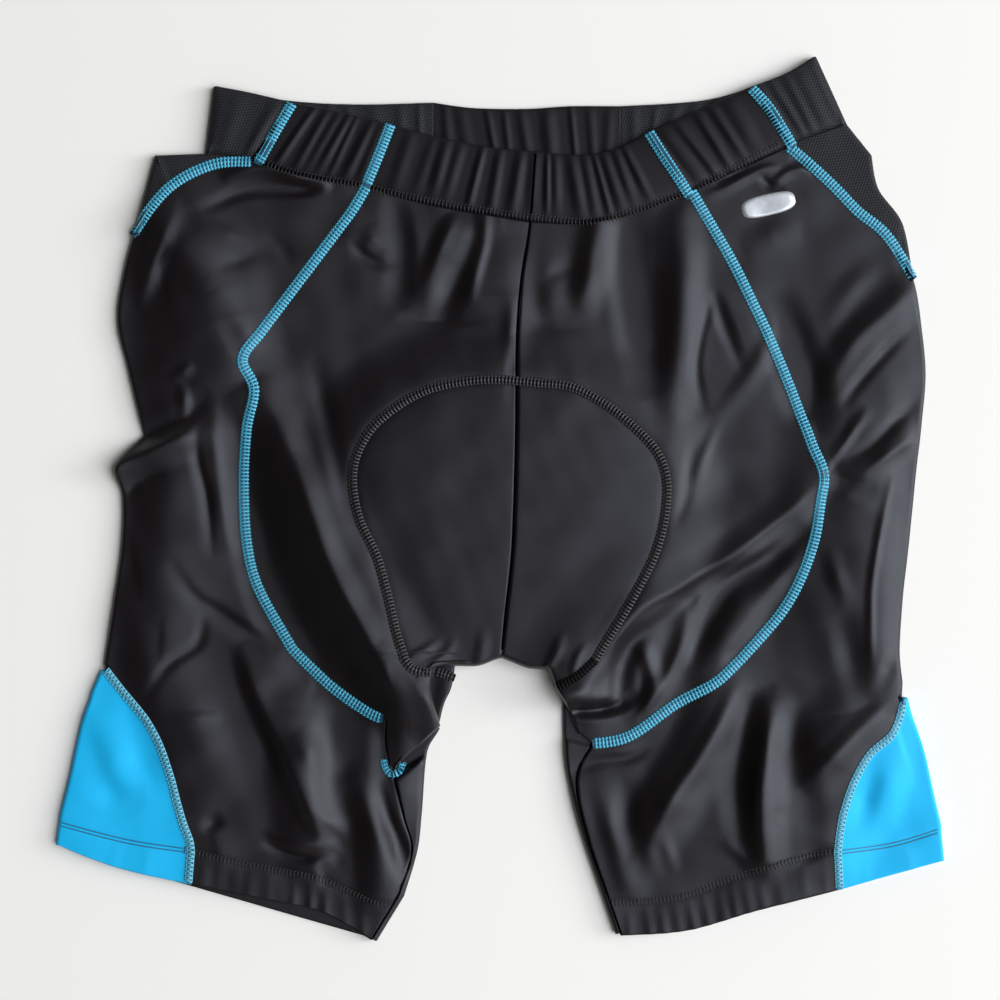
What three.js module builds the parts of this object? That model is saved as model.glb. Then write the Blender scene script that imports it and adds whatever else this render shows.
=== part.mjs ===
// Cycling shorts laid flat on their back: stretch panels, knit mesh hips, blue hem gussets, an elastic
// waistband and a seat pad. Millimetres. X runs to the wearer's left, which is the right of the picture,
// Y up to the waist, Z up from the surface. The two cloth layers lie on each other.
import * as THREE from 'three';

// Driving dimensions.
const CLOTH = 1.2;            // wall of a panel
const HEM_WALL = 2.0;         // wall where the hem is turned up
const BAND_WALL = 2.1;        // wall of the waistband casing with its elastic
const LAYERS = 4.6;           // height of the upper face where two panels lie on each other
const BAND_LAYERS = 5.4;      // the same for the waistband
const SEAM_GAP = 0.3;         // between neighbouring pieces
const BAND_GATHER = 1.3;      // rise of one gather of the waistband
const PAD_RISE = 13;          // how far the seat pad lifts the front
const PAD_LIP = 2;            // of which at its stitch line
const PAD_SLOPE = 32;         // from the stitch line in to the full rise
const PAD_SKIRT = 14;         // and out to where the front lies flat again
const PAD_MARGIN = 5;         // the pad ends this far inside its stitch line
const PAD_CLEAR = 1.8;        // below the front panel that covers it
const PAD_FLOOR = 0.5;        // above the back panels
const PAD_ENDS = [60, -76];   // y of its upper and lower ends
const PATCH = { centre: [151, 166], halfLength: 15.5, halfWidth: 6, tilt: 0.23, wall: 0.6, lift: 0.6 };

// The centre seams, front and back, as [x, y] from the waist to the crotch.
const CENTRE_SEAM = [[20.5, 196], [17.5, 156], [12.5, 124], [10, 90], [9.5, 40], [8.5, 0], [7, -32], [3.5, -64], [1, -89]];

// Each row crosses one half of the shorts once, from its outer to its inner edge, and the rows run from
// the waistband to the hem.
// rim: outer edge of the hip mesh and the hem gusset. edge: hip seam, outer edge of the thigh, gusset seam.
// leg: blue leg seam, then the inseam. centre: centre seam as its y, then the crotch and the inner flap.
// back: seam of the seat piece on the underside. spine: centre back seam as its y, then the inner leg.
// steps: rows of the solid down to the next one. turn: columns that have a corner at this row.
const LEFT_ROWS = [
  { rim: [-140.5, 191.5], edge: [-140, 190], leg: [-75.5, 176], centre: 156, steps: 1, turn: 'rim' },
  { rim: [-166, 195], edge: [-162, 188.5], leg: [-83.5, 162.5], centre: 141, back: [-37.5, 185.5],
    spine: 185, steps: 1, turn: 'rim' },
  { rim: [-194.5, 194], edge: [-186.5, 175], leg: [-95, 147], centre: 124, back: [-96, 151],
    spine: 158, steps: 1, turn: 'rim' },
  { rim: [-206, 150], edge: [-207, 148.5], leg: [-108.5, 129], centre: 108, back: [-161, 112.5],
    spine: 133, steps: 1, turn: 'rim edge back' },
  { edge: [-212, 129.5], leg: [-121, 112.5], centre: 92, back: [-162.5, 98.5], spine: 106, steps: 1 },
  { edge: [-216, 101.5], leg: [-134.5, 94], centre: 75, back: [-165.5, 76], spine: 75, steps: 2 },
  { edge: [-210, 73.5], leg: [-144.5, 78.5], centre: 60, back: [-168.5, 53.5], spine: 60, steps: 2 },
  { edge: [-201, 36], leg: [-138, 61.5], centre: 42, back: [-172, 31], spine: 42, steps: 1, turn: 'edge' },
  { edge: [-217, 18.5], leg: [-142.5, 39.5], centre: 22, back: [-174, 16.5], spine: 22, steps: 2 },
  { edge: [-213, 1.5], leg: [-144.5, 11], centre: -2, back: [-177.5, -0.5], spine: -2, steps: 2 },
  { edge: [-213.5, -25], leg: [-143, -23], centre: -29, back: [-185.5, -28.5], spine: -29, steps: 2 },
  { edge: [-217.5, -54.5], leg: [-136.5, -49.5], centre: -58, back: [-197.5, -57], spine: -58, steps: 2 },
  { edge: [-223.5, -93.5], leg: [-118.5, -82], centre: -89, back: [-210.5, -95], spine: -78, steps: 1,
    turn: 'edge centre spine' },
  { rim: [-225, -96], edge: [-222, -96], leg: [-116.5, -85], centre: [-2.5, -90], back: [-210.5, -97],
    spine: [-2.5, -78.5], steps: 1 },
  { rim: [-230, -107.5], edge: [-213, -107.5], leg: [-99, -102], centre: [-12.5, -93.5],
    back: [-208, -113.5], spine: [-12.5, -81], steps: 1 },
  { rim: [-231.5, -112.5], edge: [-207, -114.5], leg: [-87.5, -111], centre: [-24.5, -93.5],
    back: [-207, -122], spine: [-24, -81.5], steps: 1, turn: 'centre spine' },
  { rim: [-236, -125.5], edge: [-199, -124.5], leg: [-73.5, -120], centre: [-36.5, -92],
    back: [-203.5, -133], spine: [-27, -104], steps: 1, turn: 'centre' },
  { rim: [-239.5, -140.5], edge: [-191.5, -138.5], leg: [-63.5, -124], centre: [-38.5, -107.5],
    back: [-200, -146], spine: [-31.5, -115.5], steps: 1, turn: 'leg' },
  { rim: [-243, -157], edge: [-185.5, -156], leg: [-63.5, -138], centre: [-33.5, -127],
    back: [-197, -161.5], spine: [-34, -129], steps: 1, turn: 'centre' },
  { rim: [-246, -169], edge: [-182, -170], leg: [-60, -154], centre: [-57, -150], back: [-195.5, -172.5],
    spine: [-41, -142.5], steps: 1, turn: 'leg centre' },
  { rim: [-248, -177], edge: [-178.5, -182], leg: [-54, -178.5], back: [-195, -180],
    spine: [-44, -176.5], steps: 1 },
  { rim: [-248.5, -181], edge: [-175, -191.5], leg: [-49.5, -198], back: [-195, -186.5],
    spine: [-46.5, -198], steps: 1 },
  { rim: [-249, -184], edge: [-174, -197.5], leg: [-57, -223], back: [-195, -193.5],
    spine: [-54, -223.5], steps: 1, turn: 'rim edge leg spine' },
  { rim: [-250.5, -194.5], edge: [-175.5, -216.5], leg: [-72.5, -248], back: [-196, -212],
    spine: [-69.5, -249], steps: 0 },
];
const RIGHT_ROWS = [
  { rim: [163, 200], edge: [162.5, 198.5], leg: [107.5, 173.5], centre: 156, steps: 1, turn: 'rim' },
  { rim: [195.5, 211.5], edge: [174.5, 188.5], leg: [119, 154], centre: 141, back: [68, 185.5],
    spine: 185, steps: 1, turn: 'rim' },
  { rim: [209.5, 194], edge: [188, 176], leg: [130.5, 134], centre: 124, back: [101.5, 160.5],
    spine: 158, steps: 1, turn: 'rim' },
  { rim: [213.5, 175], edge: [201.5, 162], leg: [140, 115], centre: 108, back: [133, 138],
    spine: 133, steps: 1 },
  { rim: [227, 155.5], edge: [217.5, 148.5], leg: [150.5, 93.5], centre: 92, back: [158, 121],
    spine: 106, steps: 1 },
  { rim: [232.5, 127], edge: [233, 124], leg: [161, 69], centre: 75, back: [181, 106],
    spine: 75, steps: 2, turn: 'rim edge back' },
  { edge: [236.5, 106], leg: [168.5, 49.5], centre: 60, back: [181.5, 84.5], spine: 60, steps: 2 },
  { edge: [240, 73], leg: [175.5, 30], centre: 42, back: [182.5, 50.5], spine: 42, steps: 1 },
  { edge: [238, 45], leg: [181.5, 14.5], centre: 22, back: [184, 22.5], spine: 22, steps: 2 },
  { edge: [234.5, 14], leg: [180, -0.5], centre: -2, back: [186.5, -0.5], spine: -2, steps: 2 },
  { edge: [230.5, -25], leg: [176.5, -22], centre: -29, back: [191, -31.5], spine: -29, steps: 2 },
  { edge: [227, -54.5], leg: [169, -44], centre: -58, back: [197.5, -57], spine: -58, steps: 2 },
  { edge: [225, -85], leg: [157.5, -64.5], centre: -89, back: [208, -88], spine: -78, steps: 1,
    turn: 'centre spine' },
  { edge: [226.5, -102.5], leg: [138.5, -86.5], centre: [14, -95], back: [213.5, -103.5],
    spine: [12.5, -82.5], steps: 1, turn: 'edge' },
  { rim: [229.5, -111.5], edge: [226, -111], leg: [131.5, -93.5], centre: [20.5, -96],
    back: [213, -112.5], spine: [20, -83.5], steps: 1 },
  { rim: [232, -120.5], edge: [225, -120.5], leg: [120, -103.5], centre: [27, -95],
    back: [212, -122.5], spine: [26, -83], steps: 1, turn: 'centre spine' },
  { rim: [235.5, -130], edge: [220, -132], leg: [99, -115], centre: [31.5, -106.5],
    back: [210, -134], spine: [30, -104], steps: 1 },
  { rim: [239.5, -142.5], edge: [207.5, -143], leg: [73, -133], centre: [37.5, -116.5],
    back: [208.5, -148.5], spine: [35, -111.5], steps: 1 },
  { rim: [242.5, -155.5], edge: [199, -157.5], leg: [52, -137.5], centre: [44.5, -132],
    back: [207.5, -161.5], spine: [36, -133], steps: 1, turn: 'leg' },
  { rim: [246, -171.5], edge: [193, -174.5], leg: [43, -157.5], back: [207, -174.5],
    spine: [37.5, -153], steps: 1 },
  { rim: [248.5, -182], edge: [190.5, -188], leg: [49, -189.5], back: [206, -184.5],
    spine: [45, -185.5], steps: 1 },
  { rim: [249, -188], edge: [189.5, -198], leg: [61.5, -225.5], back: [206, -193.5],
    spine: [58, -224.5], steps: 1, turn: 'rim edge leg spine' },
  { rim: [250.5, -203.5], edge: [191, -219.5], leg: [68.5, -245.5], back: [207, -215],
    spine: [65, -245], steps: 0 },
];

// Rows whose line between two columns is curved: the points it passes on its way.
const LEFT_BENDS = [
  { row: 0, from: 'edge', to: 'leg', by: [[-111.5, 181.5]] },
  { row: 0, from: 'leg', to: 'centre', by: [[-45, 167], [-14, 161]] },
  { row: 23, from: 'edge', to: 'leg', by: [[-122.5, -227], [-99, -232.5]] },
  { row: 23, from: 'rim', to: 'edge', by: [[-217, -207]] },
];
const RIGHT_BENDS = [
  { row: 0, from: 'leg', to: 'centre', by: [[79, 162.5], [51, 155.5]] },
  { row: 21, from: 'edge', to: 'leg', by: [[151.5, -206.5], [106, -223]] },
  { row: 22, from: 'edge', to: 'leg', by: [[145, -231], [106, -242.5]] },
];

// Folds of the upper layer. route: its crest. rise: height along it. left and right: half-widths seen
// along the route.
const FOLDS = [
  { name: 'left flap crest', route: [[-140, 67.5], [-118.5, 33.5], [-103, -3], [-83.5, -48.5], [-65, -79.5],
    [-44, -110.5], [-40, -128]], rise: [2, 4, 6, 8, 10, 10, 6], left: 34, right: 13 },
  { name: 'left thigh swell', route: [[-184, 96], [-178, 45], [-184, -12], [-188, -57]], rise: [2, 4, 4, 2],
    left: 42, right: 30 },
  { name: 'left notch crease', route: [[-217, 16], [-178, 33.5], [-160, 39]], rise: [4, 3, 1], left: 12, right: 14 },
  { name: 'left hip ridge', route: [[-198, 161], [-178, 140], [-160, 118]], rise: [2, 3, 1], left: 18, right: 18 },
  { name: 'left leg outer ridge', route: [[-181, -85], [-158, -130], [-138, -170], [-121, -198]],
    rise: [2, 5, 5, 2], left: 22, right: 40 },
  { name: 'left leg inner ridge', route: [[-99, -113], [-103, -153], [-98, -198]], rise: [3, 7, 4], left: 30, right: 20 },
  { name: 'left inner leg', route: [[-78, -160], [-68, -190], [-70, -222]], rise: [2, 5, 2], left: 16, right: 16 },
  { name: 'right crotch crest', route: [[180, 11], [155, -20], [133, -31], [114, -39], [93, -54.5], [71, -70],
    [57, -84], [42, -108]], rise: [2, 6, 7, 7, 8, 8, 8, 6], left: 12, right: 26 },
  { name: 'right thigh swell', route: [[215, 90], [205, 20], [204, -40]], rise: [2, 4, 2], left: 36, right: 34 },
  { name: 'right hip crease', route: [[229, 116], [203, 90], [181, 56]], rise: [3, 3, 1], left: 14, right: 14 },
  { name: 'right middle crease', route: [[226, 33.5], [198, 11]], rise: [3, 1], left: 12, right: 14 },
  { name: 'right leg long ridge', route: [[138, -96], [126, -139], [106, -172], [89, -186]], rise: [3, 5, 5, 2],
    left: 18, right: 18 },
  { name: 'right leg short ridge', route: [[157, -108], [155, -133], [145, -162], [153, -199]], rise: [3, 5, 4, 2],
    left: 14, right: 18 },
  { name: 'right leg outer ridge', route: [[224, -108], [204, -123], [185, -143], [169, -160]], rise: [2, 4, 4, 2],
    left: 14, right: 18 },
  { name: 'upper right ridge', route: [[102, 155], [102, 107], [98, 56]], rise: [2, 4, 2], left: 18, right: 16 },
  { name: 'upper centre ridge', route: [[57.5, 152], [52.5, 125], [45.5, 106]], rise: [2, 3, 1], left: 12, right: 14 },
  { name: 'upper left ridge', route: [[-25.5, 149], [-39.5, 118]], rise: [3, 2], left: 14, right: 14 },
];

// The pad's stitch line, and below it the part of the outline that turns under at the crotch.
const PAD_LINE = [[-53, -89], [-58, -73], [-62.5, -54], [-69, -32], [-78.5, -11.5], [-82.5, 7.5], [-81, 23.5],
  [-72.5, 39.5], [-58, 51.5], [-40.5, 61.5], [-20.5, 66], [-1, 67], [21, 65.5], [40, 63], [59, 53.5], [74.5, 41],
  [87.5, 27], [93, 11], [92, -10], [84, -32], [73, -55.5], [60, -78], [52, -92], [46, -104], [-46, -104]];

// The band's upper edge, one curve for each stretch: in front, the mesh ones outward from the hip seam and
// the others from left to right. At the back, the mesh ones inward from the end of the band.
const BAND_TOPS = {
  waist_mesh_left: [[-117, 223.5], [-140, 229], [-161.5, 233]],
  waist_side_left: [[-117, 223.5], [-90.5, 218.5], [-62, 211.5]],
  waist_front_left: [[-62, 211.5], [-34, 204], [-5.5, 198.5], [20.5, 196]],
  waist_front_right: [[20.5, 196], [44, 194], [65, 197.5], [83.5, 207]],
  waist_side_right: [[83.5, 207], [113, 219.5], [140, 232]],
  waist_mesh_right: [[140, 232], [161, 240], [178, 250]],
};
const BACK_BAND_TOPS = {
  waist_mesh_left: [[-161.5, 233], [-141, 228.5], [-113, 224.5], [-79, 223], [-37.5, 224]],
  waist_back: [[-37.5, 224], [-15, 221], [15, 220.5], [40, 222], [68, 222]],
  waist_mesh_right: [[178, 250], [161, 240], [140, 232], [113, 225], [68, 222]],
};

const BLACK = { color: 0x1d1d22, roughness: 0.62, metalness: 0 };
const MESH = { color: 0x26262b, roughness: 0.8, metalness: 0 };
const BLUE = { color: 0x27b0e6, roughness: 0.55, metalness: 0 };
const FOAM = { color: 0x303036, roughness: 0.9, metalness: 0 };
const SILVER = { color: 0xc4c8cc, roughness: 0.3, metalness: 0.6 };

const lerp = (a, b, u) => a + (b - a) * u;
const mix = (p, q, u) => [lerp(p[0], q[0], u), lerp(p[1], q[1], u)];
const minus = (p, q) => [p[0] - q[0], p[1] - q[1]];
const length = (p) => Math.hypot(p[0], p[1]);
const ease = (u) => u * u * (3 - 2 * u);
const clamp = (u) => Math.min(1, Math.max(0, u));

// A smooth curve through points, at an even share u of its points.
function along(points, u) {
  const curve = new THREE.SplineCurve(points.map((p) => new THREE.Vector2(...p)));
  const at = curve.getPoint(u);
  return [at.x, at.y];
}

// Where the centre seam stands at height y.
function centreSeam(y) {
  const under = CENTRE_SEAM.findIndex((p) => p[1] <= y);
  const i = Math.max(1, under < 0 ? CENTRE_SEAM.length - 1 : under);
  const [a, b] = [CENTRE_SEAM[i - 1], CENTRE_SEAM[i]];
  return [lerp(a[0], b[0], (y - a[1]) / (b[1] - a[1])), y];
}

// Nearest place on a line of points: its distance, its side (left is positive) and its share of the way.
function nearest(line, p) {
  let best = { d: Infinity };
  for (let i = 0; i + 1 < line.length; i++) {
    const step = minus(line[i + 1], line[i]);
    const from = minus(p, line[i]);
    const u = clamp((from[0] * step[0] + from[1] * step[1]) / (step[0] ** 2 + step[1] ** 2));
    const d = length(minus(p, mix(line[i], line[i + 1], u)));
    if (d < best.d) best = { d, side: Math.sign(step[0] * from[1] - step[1] * from[0]), at: i + u };
  }
  return best;
}

// How far p lies inside a closed outline, and 0 outside it.
function depthInside(outline, p) {
  let inside = false;
  for (let i = 0, j = outline.length - 1; i < outline.length; j = i++) {
    const [a, b] = [outline[i], outline[j]];
    if (a[1] > p[1] !== b[1] > p[1] && p[0] < ((b[0] - a[0]) * (p[1] - a[1])) / (b[1] - a[1]) + a[0]) inside = !inside;
  }
  return inside ? nearest([...outline, outline[0]], p).d : 0;
}

// Height of the upper face of the front layer at a place in plan.
function upper(x, y) {
  const p = [x, y];
  let z = LAYERS;
  for (const fold of FOLDS) {
    const { d, side, at } = nearest(fold.route, p);
    const wide = side > 0 ? fold.left : fold.right;
    if (d >= wide) continue;
    const i = Math.min(Math.floor(at), fold.rise.length - 2);
    z += lerp(fold.rise[i], fold.rise[i + 1], at - i) * (0.5 + 0.5 * Math.cos((Math.PI * d) / wide));
  }
  const outside = nearest([...PAD_LINE, PAD_LINE[0]], p).d;
  const inside = depthInside(PAD_LINE, p);
  return z + (inside > 0
    ? PAD_LIP + (PAD_RISE - PAD_LIP) * (1 - (1 - clamp(inside / PAD_SLOPE)) ** 2)
    : PAD_LIP * (1 - ease(clamp(outside / PAD_SKIRT))));
}

function upperNormal(x, y) {
  const h = 1.5;
  const dx = (upper(x + h, y) - upper(x - h, y)) / (2 * h);
  const dy = (upper(x, y + h) - upper(x, y - h)) / (2 * h);
  return new THREE.Vector3(-dx, -dy, 1).normalize();
}

// One column of a table of rows, as a point for every row of the solid between two table rows. The
// column breaks into separate smooth curves where the table says that it turns.
function column(rows, name, from, to) {
  const point = (row) => (Array.isArray(row[name]) ? row[name] : centreSeam(row[name]));
  const out = [point(rows[from])];
  let start = from;
  for (let i = from + 1; i <= to; i++) {
    const turns = i === to || (rows[i].turn ?? '').split(' ').includes(name);
    if (!turns) continue;
    const keys = rows.slice(start, i + 1).map(point);
    for (let k = start; k < i; k++) {
      for (let s = 1; s <= rows[k].steps; s++) {
        out.push(along(keys, (k - start + s / rows[k].steps) / (i - start)));
      }
    }
    start = i;
  }
  return out;
}

// Index of a table row among the rows of the solid.
const rowIndex = (rows, i) => rows.slice(0, i).reduce((sum, row) => sum + row.steps, 0);

// How far the line from one column to another bends away from straight in a row, at share way.
function bend(rows, bends, from, to, index, way) {
  const sum = [0, 0];
  for (const b of bends) {
    const same = b.from === from && b.to === to;
    if (!same && !(b.from === to && b.to === from)) continue;
    const u = same ? way : 1 - way;
    const table = rows[b.row];
    const ends = [b.from, b.to].map((name) => (Array.isArray(table[name]) ? table[name] : centreSeam(table[name])));
    const at = rowIndex(rows, b.row);
    const before = b.row > 0 ? at - rowIndex(rows, b.row - 1) : 1;
    const after = Math.max(table.steps, 1);
    const share = clamp(1 - Math.abs(index - at) / (index < at ? before : after));
    const off = minus(along([ends[0], ...b.by, ends[1]], u), mix(ends[0], ends[1], u));
    sum[0] += off[0] * share;
    sum[1] += off[1] * share;
  }
  return sum;
}

// The direction out of the cloth, in plan, at point i of an outline, away from the point inside.
function outward(line, i, inside) {
  const step = minus(line[Math.min(i + 1, line.length - 1)], line[Math.max(i - 1, 0)]);
  const size = length(step);
  const normal = [step[1] / size, -step[0] / size];
  const to = minus(inside, line[i]);
  return normal[0] * to[0] + normal[1] * to[1] > 0 ? [-normal[0], -normal[1]] : normal;
}

// A cell is one point of a wall's outer face, with its normal and the wall's thickness there.
const cell = (x, y, z, normal, wall) => ({ at: new THREE.Vector3(x, y, z), normal, wall });
const UNDER = new THREE.Vector3(0, 0, -1);
const UP = new THREE.Vector3(0, 0, 1);

// The fold at an outline: the cloth turns from the upper face down to the surface.
const ROLL_ANGLES = [60, 20, -20, -60].map((a) => (a * Math.PI) / 180);
function roll(edge, out, radius, wall) {
  const middle = [edge[0] - out[0] * radius, edge[1] - out[1] * radius];
  return ROLL_ANGLES.map((a) => {
    const reach = radius * Math.cos(a);
    return cell(middle[0] + out[0] * reach, middle[1] + out[1] * reach, radius * (1 + Math.sin(a)),
      new THREE.Vector3(out[0] * Math.cos(a), out[1] * Math.cos(a), Math.sin(a)), wall);
  });
}

const SEAM_HALF = (SEAM_GAP / 2) * 1.1;

// Signed volume inside a list of triangles: negative where they face inwards.
function volume(position, index) {
  const at = (i) => new THREE.Vector3().fromArray(position, 3 * i);
  let sum = 0;
  for (let i = 0; i < index.length; i += 3) sum += at(index[i]).dot(at(index[i + 1]).cross(at(index[i + 2])));
  return sum / 6;
}

// A closed wall over a grid of cells, some of which may be absent. Its edges are drawn in by half a seam
// gap, and the inner face lies one wall thickness behind the outer one.
function shell(name, look, grid) {
  const key = (r, c) => `${r},${c}`;
  const cells = new Map();
  grid.forEach((row, r) => row.forEach((one, c) => one && cells.set(key(r, c), { ...one, pull: new THREE.Vector3() })));
  const quads = [];
  for (let r = 0; r + 1 < grid.length; r++) {
    for (let c = 0; c + 1 < grid[r].length; c++) {
      const corners = [key(r, c), key(r, c + 1), key(r + 1, c + 1), key(r + 1, c)];
      if (corners.every((k) => cells.has(k))) quads.push(corners);
    }
  }
  const sides = new Map();
  for (const quad of quads) {
    quad.forEach((a, i) => {
      const b = quad[(i + 1) % 4];
      if (sides.has(`${b}>${a}`)) sides.delete(`${b}>${a}`);
      else sides.set(`${a}>${b}`, { a, b, quad });
    });
  }
  for (const { a, b, quad } of sides.values()) {
    const heart = quad.reduce((sum, k) => sum.add(cells.get(k).at), new THREE.Vector3()).multiplyScalar(0.25);
    const [p, q] = [cells.get(a).at, cells.get(b).at];
    const line = q.clone().sub(p).normalize();
    const inward = heart.sub(p.clone().add(q).multiplyScalar(0.5));
    inward.addScaledVector(line, -inward.dot(line)).normalize();
    cells.get(a).pull.add(inward);
    cells.get(b).pull.add(inward);
  }
  const position = [];
  let count = 0;
  for (const one of cells.values()) {
    const size = one.pull.lengthSq();
    if (size > 0) one.at = one.at.clone().addScaledVector(one.pull, (2 * SEAM_HALF) / Math.max(size, 1));
    one.outer = count++;
    one.inner = count++;
    const inner = one.at.clone().addScaledVector(one.normal, -one.wall);
    position.push(...one.at.toArray(), ...inner.toArray());
  }
  const index = [];
  const face = (a, b, c, d) => index.push(a, b, c, a, c, d);
  for (const quad of quads) {
    const q = quad.map((k) => cells.get(k));
    face(q[0].outer, q[1].outer, q[2].outer, q[3].outer);
    face(q[3].inner, q[2].inner, q[1].inner, q[0].inner);
  }
  for (const { a, b } of sides.values()) {
    const [p, q] = [cells.get(a), cells.get(b)];
    face(q.outer, p.outer, p.inner, q.inner);
  }
  if (volume(position, index) < 0) {
    for (let i = 0; i < index.length; i += 3) [index[i + 1], index[i + 2]] = [index[i + 2], index[i + 1]];
  }
  const geometry = new THREE.BufferGeometry();
  geometry.setAttribute('position', new THREE.Float32BufferAttribute(position, 3));
  geometry.setIndex(index);
  geometry.computeVertexNormals();
  const mesh = new THREE.Mesh(geometry, new THREE.MeshStandardMaterial(look));
  mesh.name = name;
  return mesh;
}

// A panel of one half. Its main part lies between two columns on one layer. Where turn is given it turns
// round the outline, over those table rows, and runs on to a third column on the other layer.
function panel(name, look, half, { layer, from, to, rows: [first, last], across, turn }) {
  const { rows, bends } = half;
  const start = rowIndex(rows, first);
  const a = column(rows, from, first, last);
  const b = column(rows, to, first, last);
  const hem = rowIndex(rows, rows.length - 2);
  const wallAt = (index) => (index >= hem ? HEM_WALL : CLOTH);
  const upperCell = (x, y, wall) => cell(x, y, upper(x, y), upperNormal(x, y), wall);
  const underCell = (x, y, wall) => cell(x, y, 0, UNDER, wall);
  const place = { upper: upperCell, under: underCell };
  const turned = turn && { ...turn, a: rowIndex(rows, turn.rows[0]), b: rowIndex(rows, turn.rows[1]) };
  const far = turn && column(rows, turn.to, turn.rows[0], turn.rows[1]);
  const outline = turn && column(rows, to, turn.rows[0], turn.rows[1]);
  const grid = a.map((p, i) => {
    const index = start + i;
    const wall = wallAt(index);
    const turning = turned && index >= turned.a && index <= turned.b;
    let end = b[i];
    let edge = [];
    let beyond = [];
    if (turning) {
      const k = index - turned.a;
      const out = k === 0 && turn.firstOut ? turn.firstOut : outward(outline, k, mix(p, b[i], 0.8));
      const probe = [b[i][0] - out[0] * (LAYERS / 2), b[i][1] - out[1] * (LAYERS / 2)];
      const radius = upper(...probe) / 2;
      end = [b[i][0] - out[0] * radius, b[i][1] - out[1] * radius];
      edge = roll(b[i], out, radius, wall);
      if (layer === 'under') edge.reverse();
      const other = layer === 'upper' ? 'under' : 'upper';
      const tip = (u) => mix(end, far[k], u);
      beyond = Array.from({ length: turned.across + 1 }, (_, c) => place[other](...tip(c / turned.across), wall));
    }
    const cells = Array.from({ length: across + 1 }, (_, c) => {
      const u = c / across;
      const [x, y] = mix(p, end, u);
      const off = bend(rows, bends, from, to, index, u);
      return place[layer](x + off[0], y + off[1], wall);
    });
    const missing = turned && !turning ? Array(ROLL_ANGLES.length + turned.across + 1).fill(null) : [];
    return [...cells, ...edge, ...beyond, ...missing];
  });
  return shell(name, look, grid);
}

// The plan points of a panel's first row, which the waistband is sewn to.
function topLine(half, row, from, to, across) {
  const { rows, bends } = half;
  const point = (name) => (Array.isArray(rows[row][name]) ? rows[row][name] : centreSeam(rows[row][name]));
  return Array.from({ length: across + 1 }, (_, c) => {
    const u = c / across;
    const [x, y] = mix(point(from), point(to), u);
    const off = bend(rows, bends, from, to, rowIndex(rows, row), u);
    return [x + off[0], y + off[1]];
  });
}

const left = { rows: LEFT_ROWS, bends: LEFT_BENDS };
const right = { rows: RIGHT_ROWS, bends: RIGHT_BENDS };

const THIGH_ACROSS = 7;
const CENTRE_ACROSS = 11;
const HIP_ACROSS = 2;
const GUSSET_ACROSS = 5;

// Table rows where the outline passes from one piece to the next, for each half.
const SPANS = {
  left: { hipTurn: [1, 3], thighTurn: [3, 12], gusset: [13, 23], crotch: [12, 15], flapEnd: 19, inseam: [19, 23] },
  right: { hipTurn: [1, 5], thighTurn: [5, 14], gusset: [14, 22], crotch: [12, 15], flapEnd: 18, inseam: [18, 22] },
};

function halfPanels(side, half) {
  const span = SPANS[side];
  const last = half.rows.length - 1;
  return [
    panel(`front_centre_${side}`, BLACK, half, { layer: 'upper', from: 'leg', to: 'centre',
      rows: [0, span.flapEnd], across: CENTRE_ACROSS,
      turn: { rows: span.crotch, to: 'spine', across: 1, firstOut: [0, -1] } }),
    panel(`thigh_${side}`, BLACK, half, { layer: 'upper', from: 'leg', to: 'edge', rows: [0, last],
      across: THIGH_ACROSS, turn: { rows: span.thighTurn, to: 'back', across: 3 } }),
    panel(`hip_mesh_${side}`, MESH, half, { layer: 'upper', from: 'edge', to: 'rim', rows: [0, span.hipTurn[1]],
      across: HIP_ACROSS, turn: { rows: span.hipTurn, to: 'back', across: 5 } }),
    panel(`gusset_${side}`, BLUE, half, { layer: 'upper', from: 'edge', to: 'rim', rows: span.gusset,
      across: GUSSET_ACROSS, turn: { rows: span.gusset, to: 'back', across: 3 } }),
    panel(`back_${side}`, BLACK, half, { layer: 'under', from: 'back', to: 'spine', rows: [1, last],
      across: 7, turn: { rows: span.inseam, to: 'leg', across: 2 } }),
  ];
}

// The waistband: rows from its upper edge to the seam below it.
const BAND_STEPS = 3;
const BACK_ACROSS = 7;
const HIP_BACK_ACROSS = 5;

// Halves each step of a line, so that one gather stands between two points of the panel below.
function halved(line) {
  return line.flatMap((p, i) => (i ? [mix(line[i - 1], p, 0.5), p] : [p]));
}

// Rise of the gathers: crests between the stitched points, lower at the upper edge and flat at the seam.
const gather = (c, v) => BAND_GATHER * (c % 2 ? 1 : -0.2) * Math.sin(Math.PI * lerp(0.18, 1, v));

// Plan points of one stretch of band, row by row, between its upper edge and the line below.
function stretch(tops, low, shift) {
  const last = low.length - 1;
  return Array.from({ length: BAND_STEPS + 1 }, (_, r) => low.map((p, c) => {
    const at = mix(along(tops, c / last), p, r / BAND_STEPS);
    return shift ? shift(at, c / last) : at;
  }));
}

const bandUpper = (r) => (p, c) => cell(...p, BAND_LAYERS + gather(c, r / BAND_STEPS), UP, BAND_WALL);
const bandUnder = (r) => (p, c) => cell(...p, 0, UNDER, BAND_WALL + 0.5 * gather(c, r / BAND_STEPS));

function frontBand(name, low) {
  const plan = stretch(BAND_TOPS[name], halved(low));
  return shell(name, BLACK, plan.map((row, r) => row.map(bandUpper(r))));
}

function backBand(name, low) {
  const plan = stretch(BACK_BAND_TOPS[name], halved(low));
  return shell(name, BLACK, plan.map((row, r) => row.map(bandUnder(r))));
}

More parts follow.
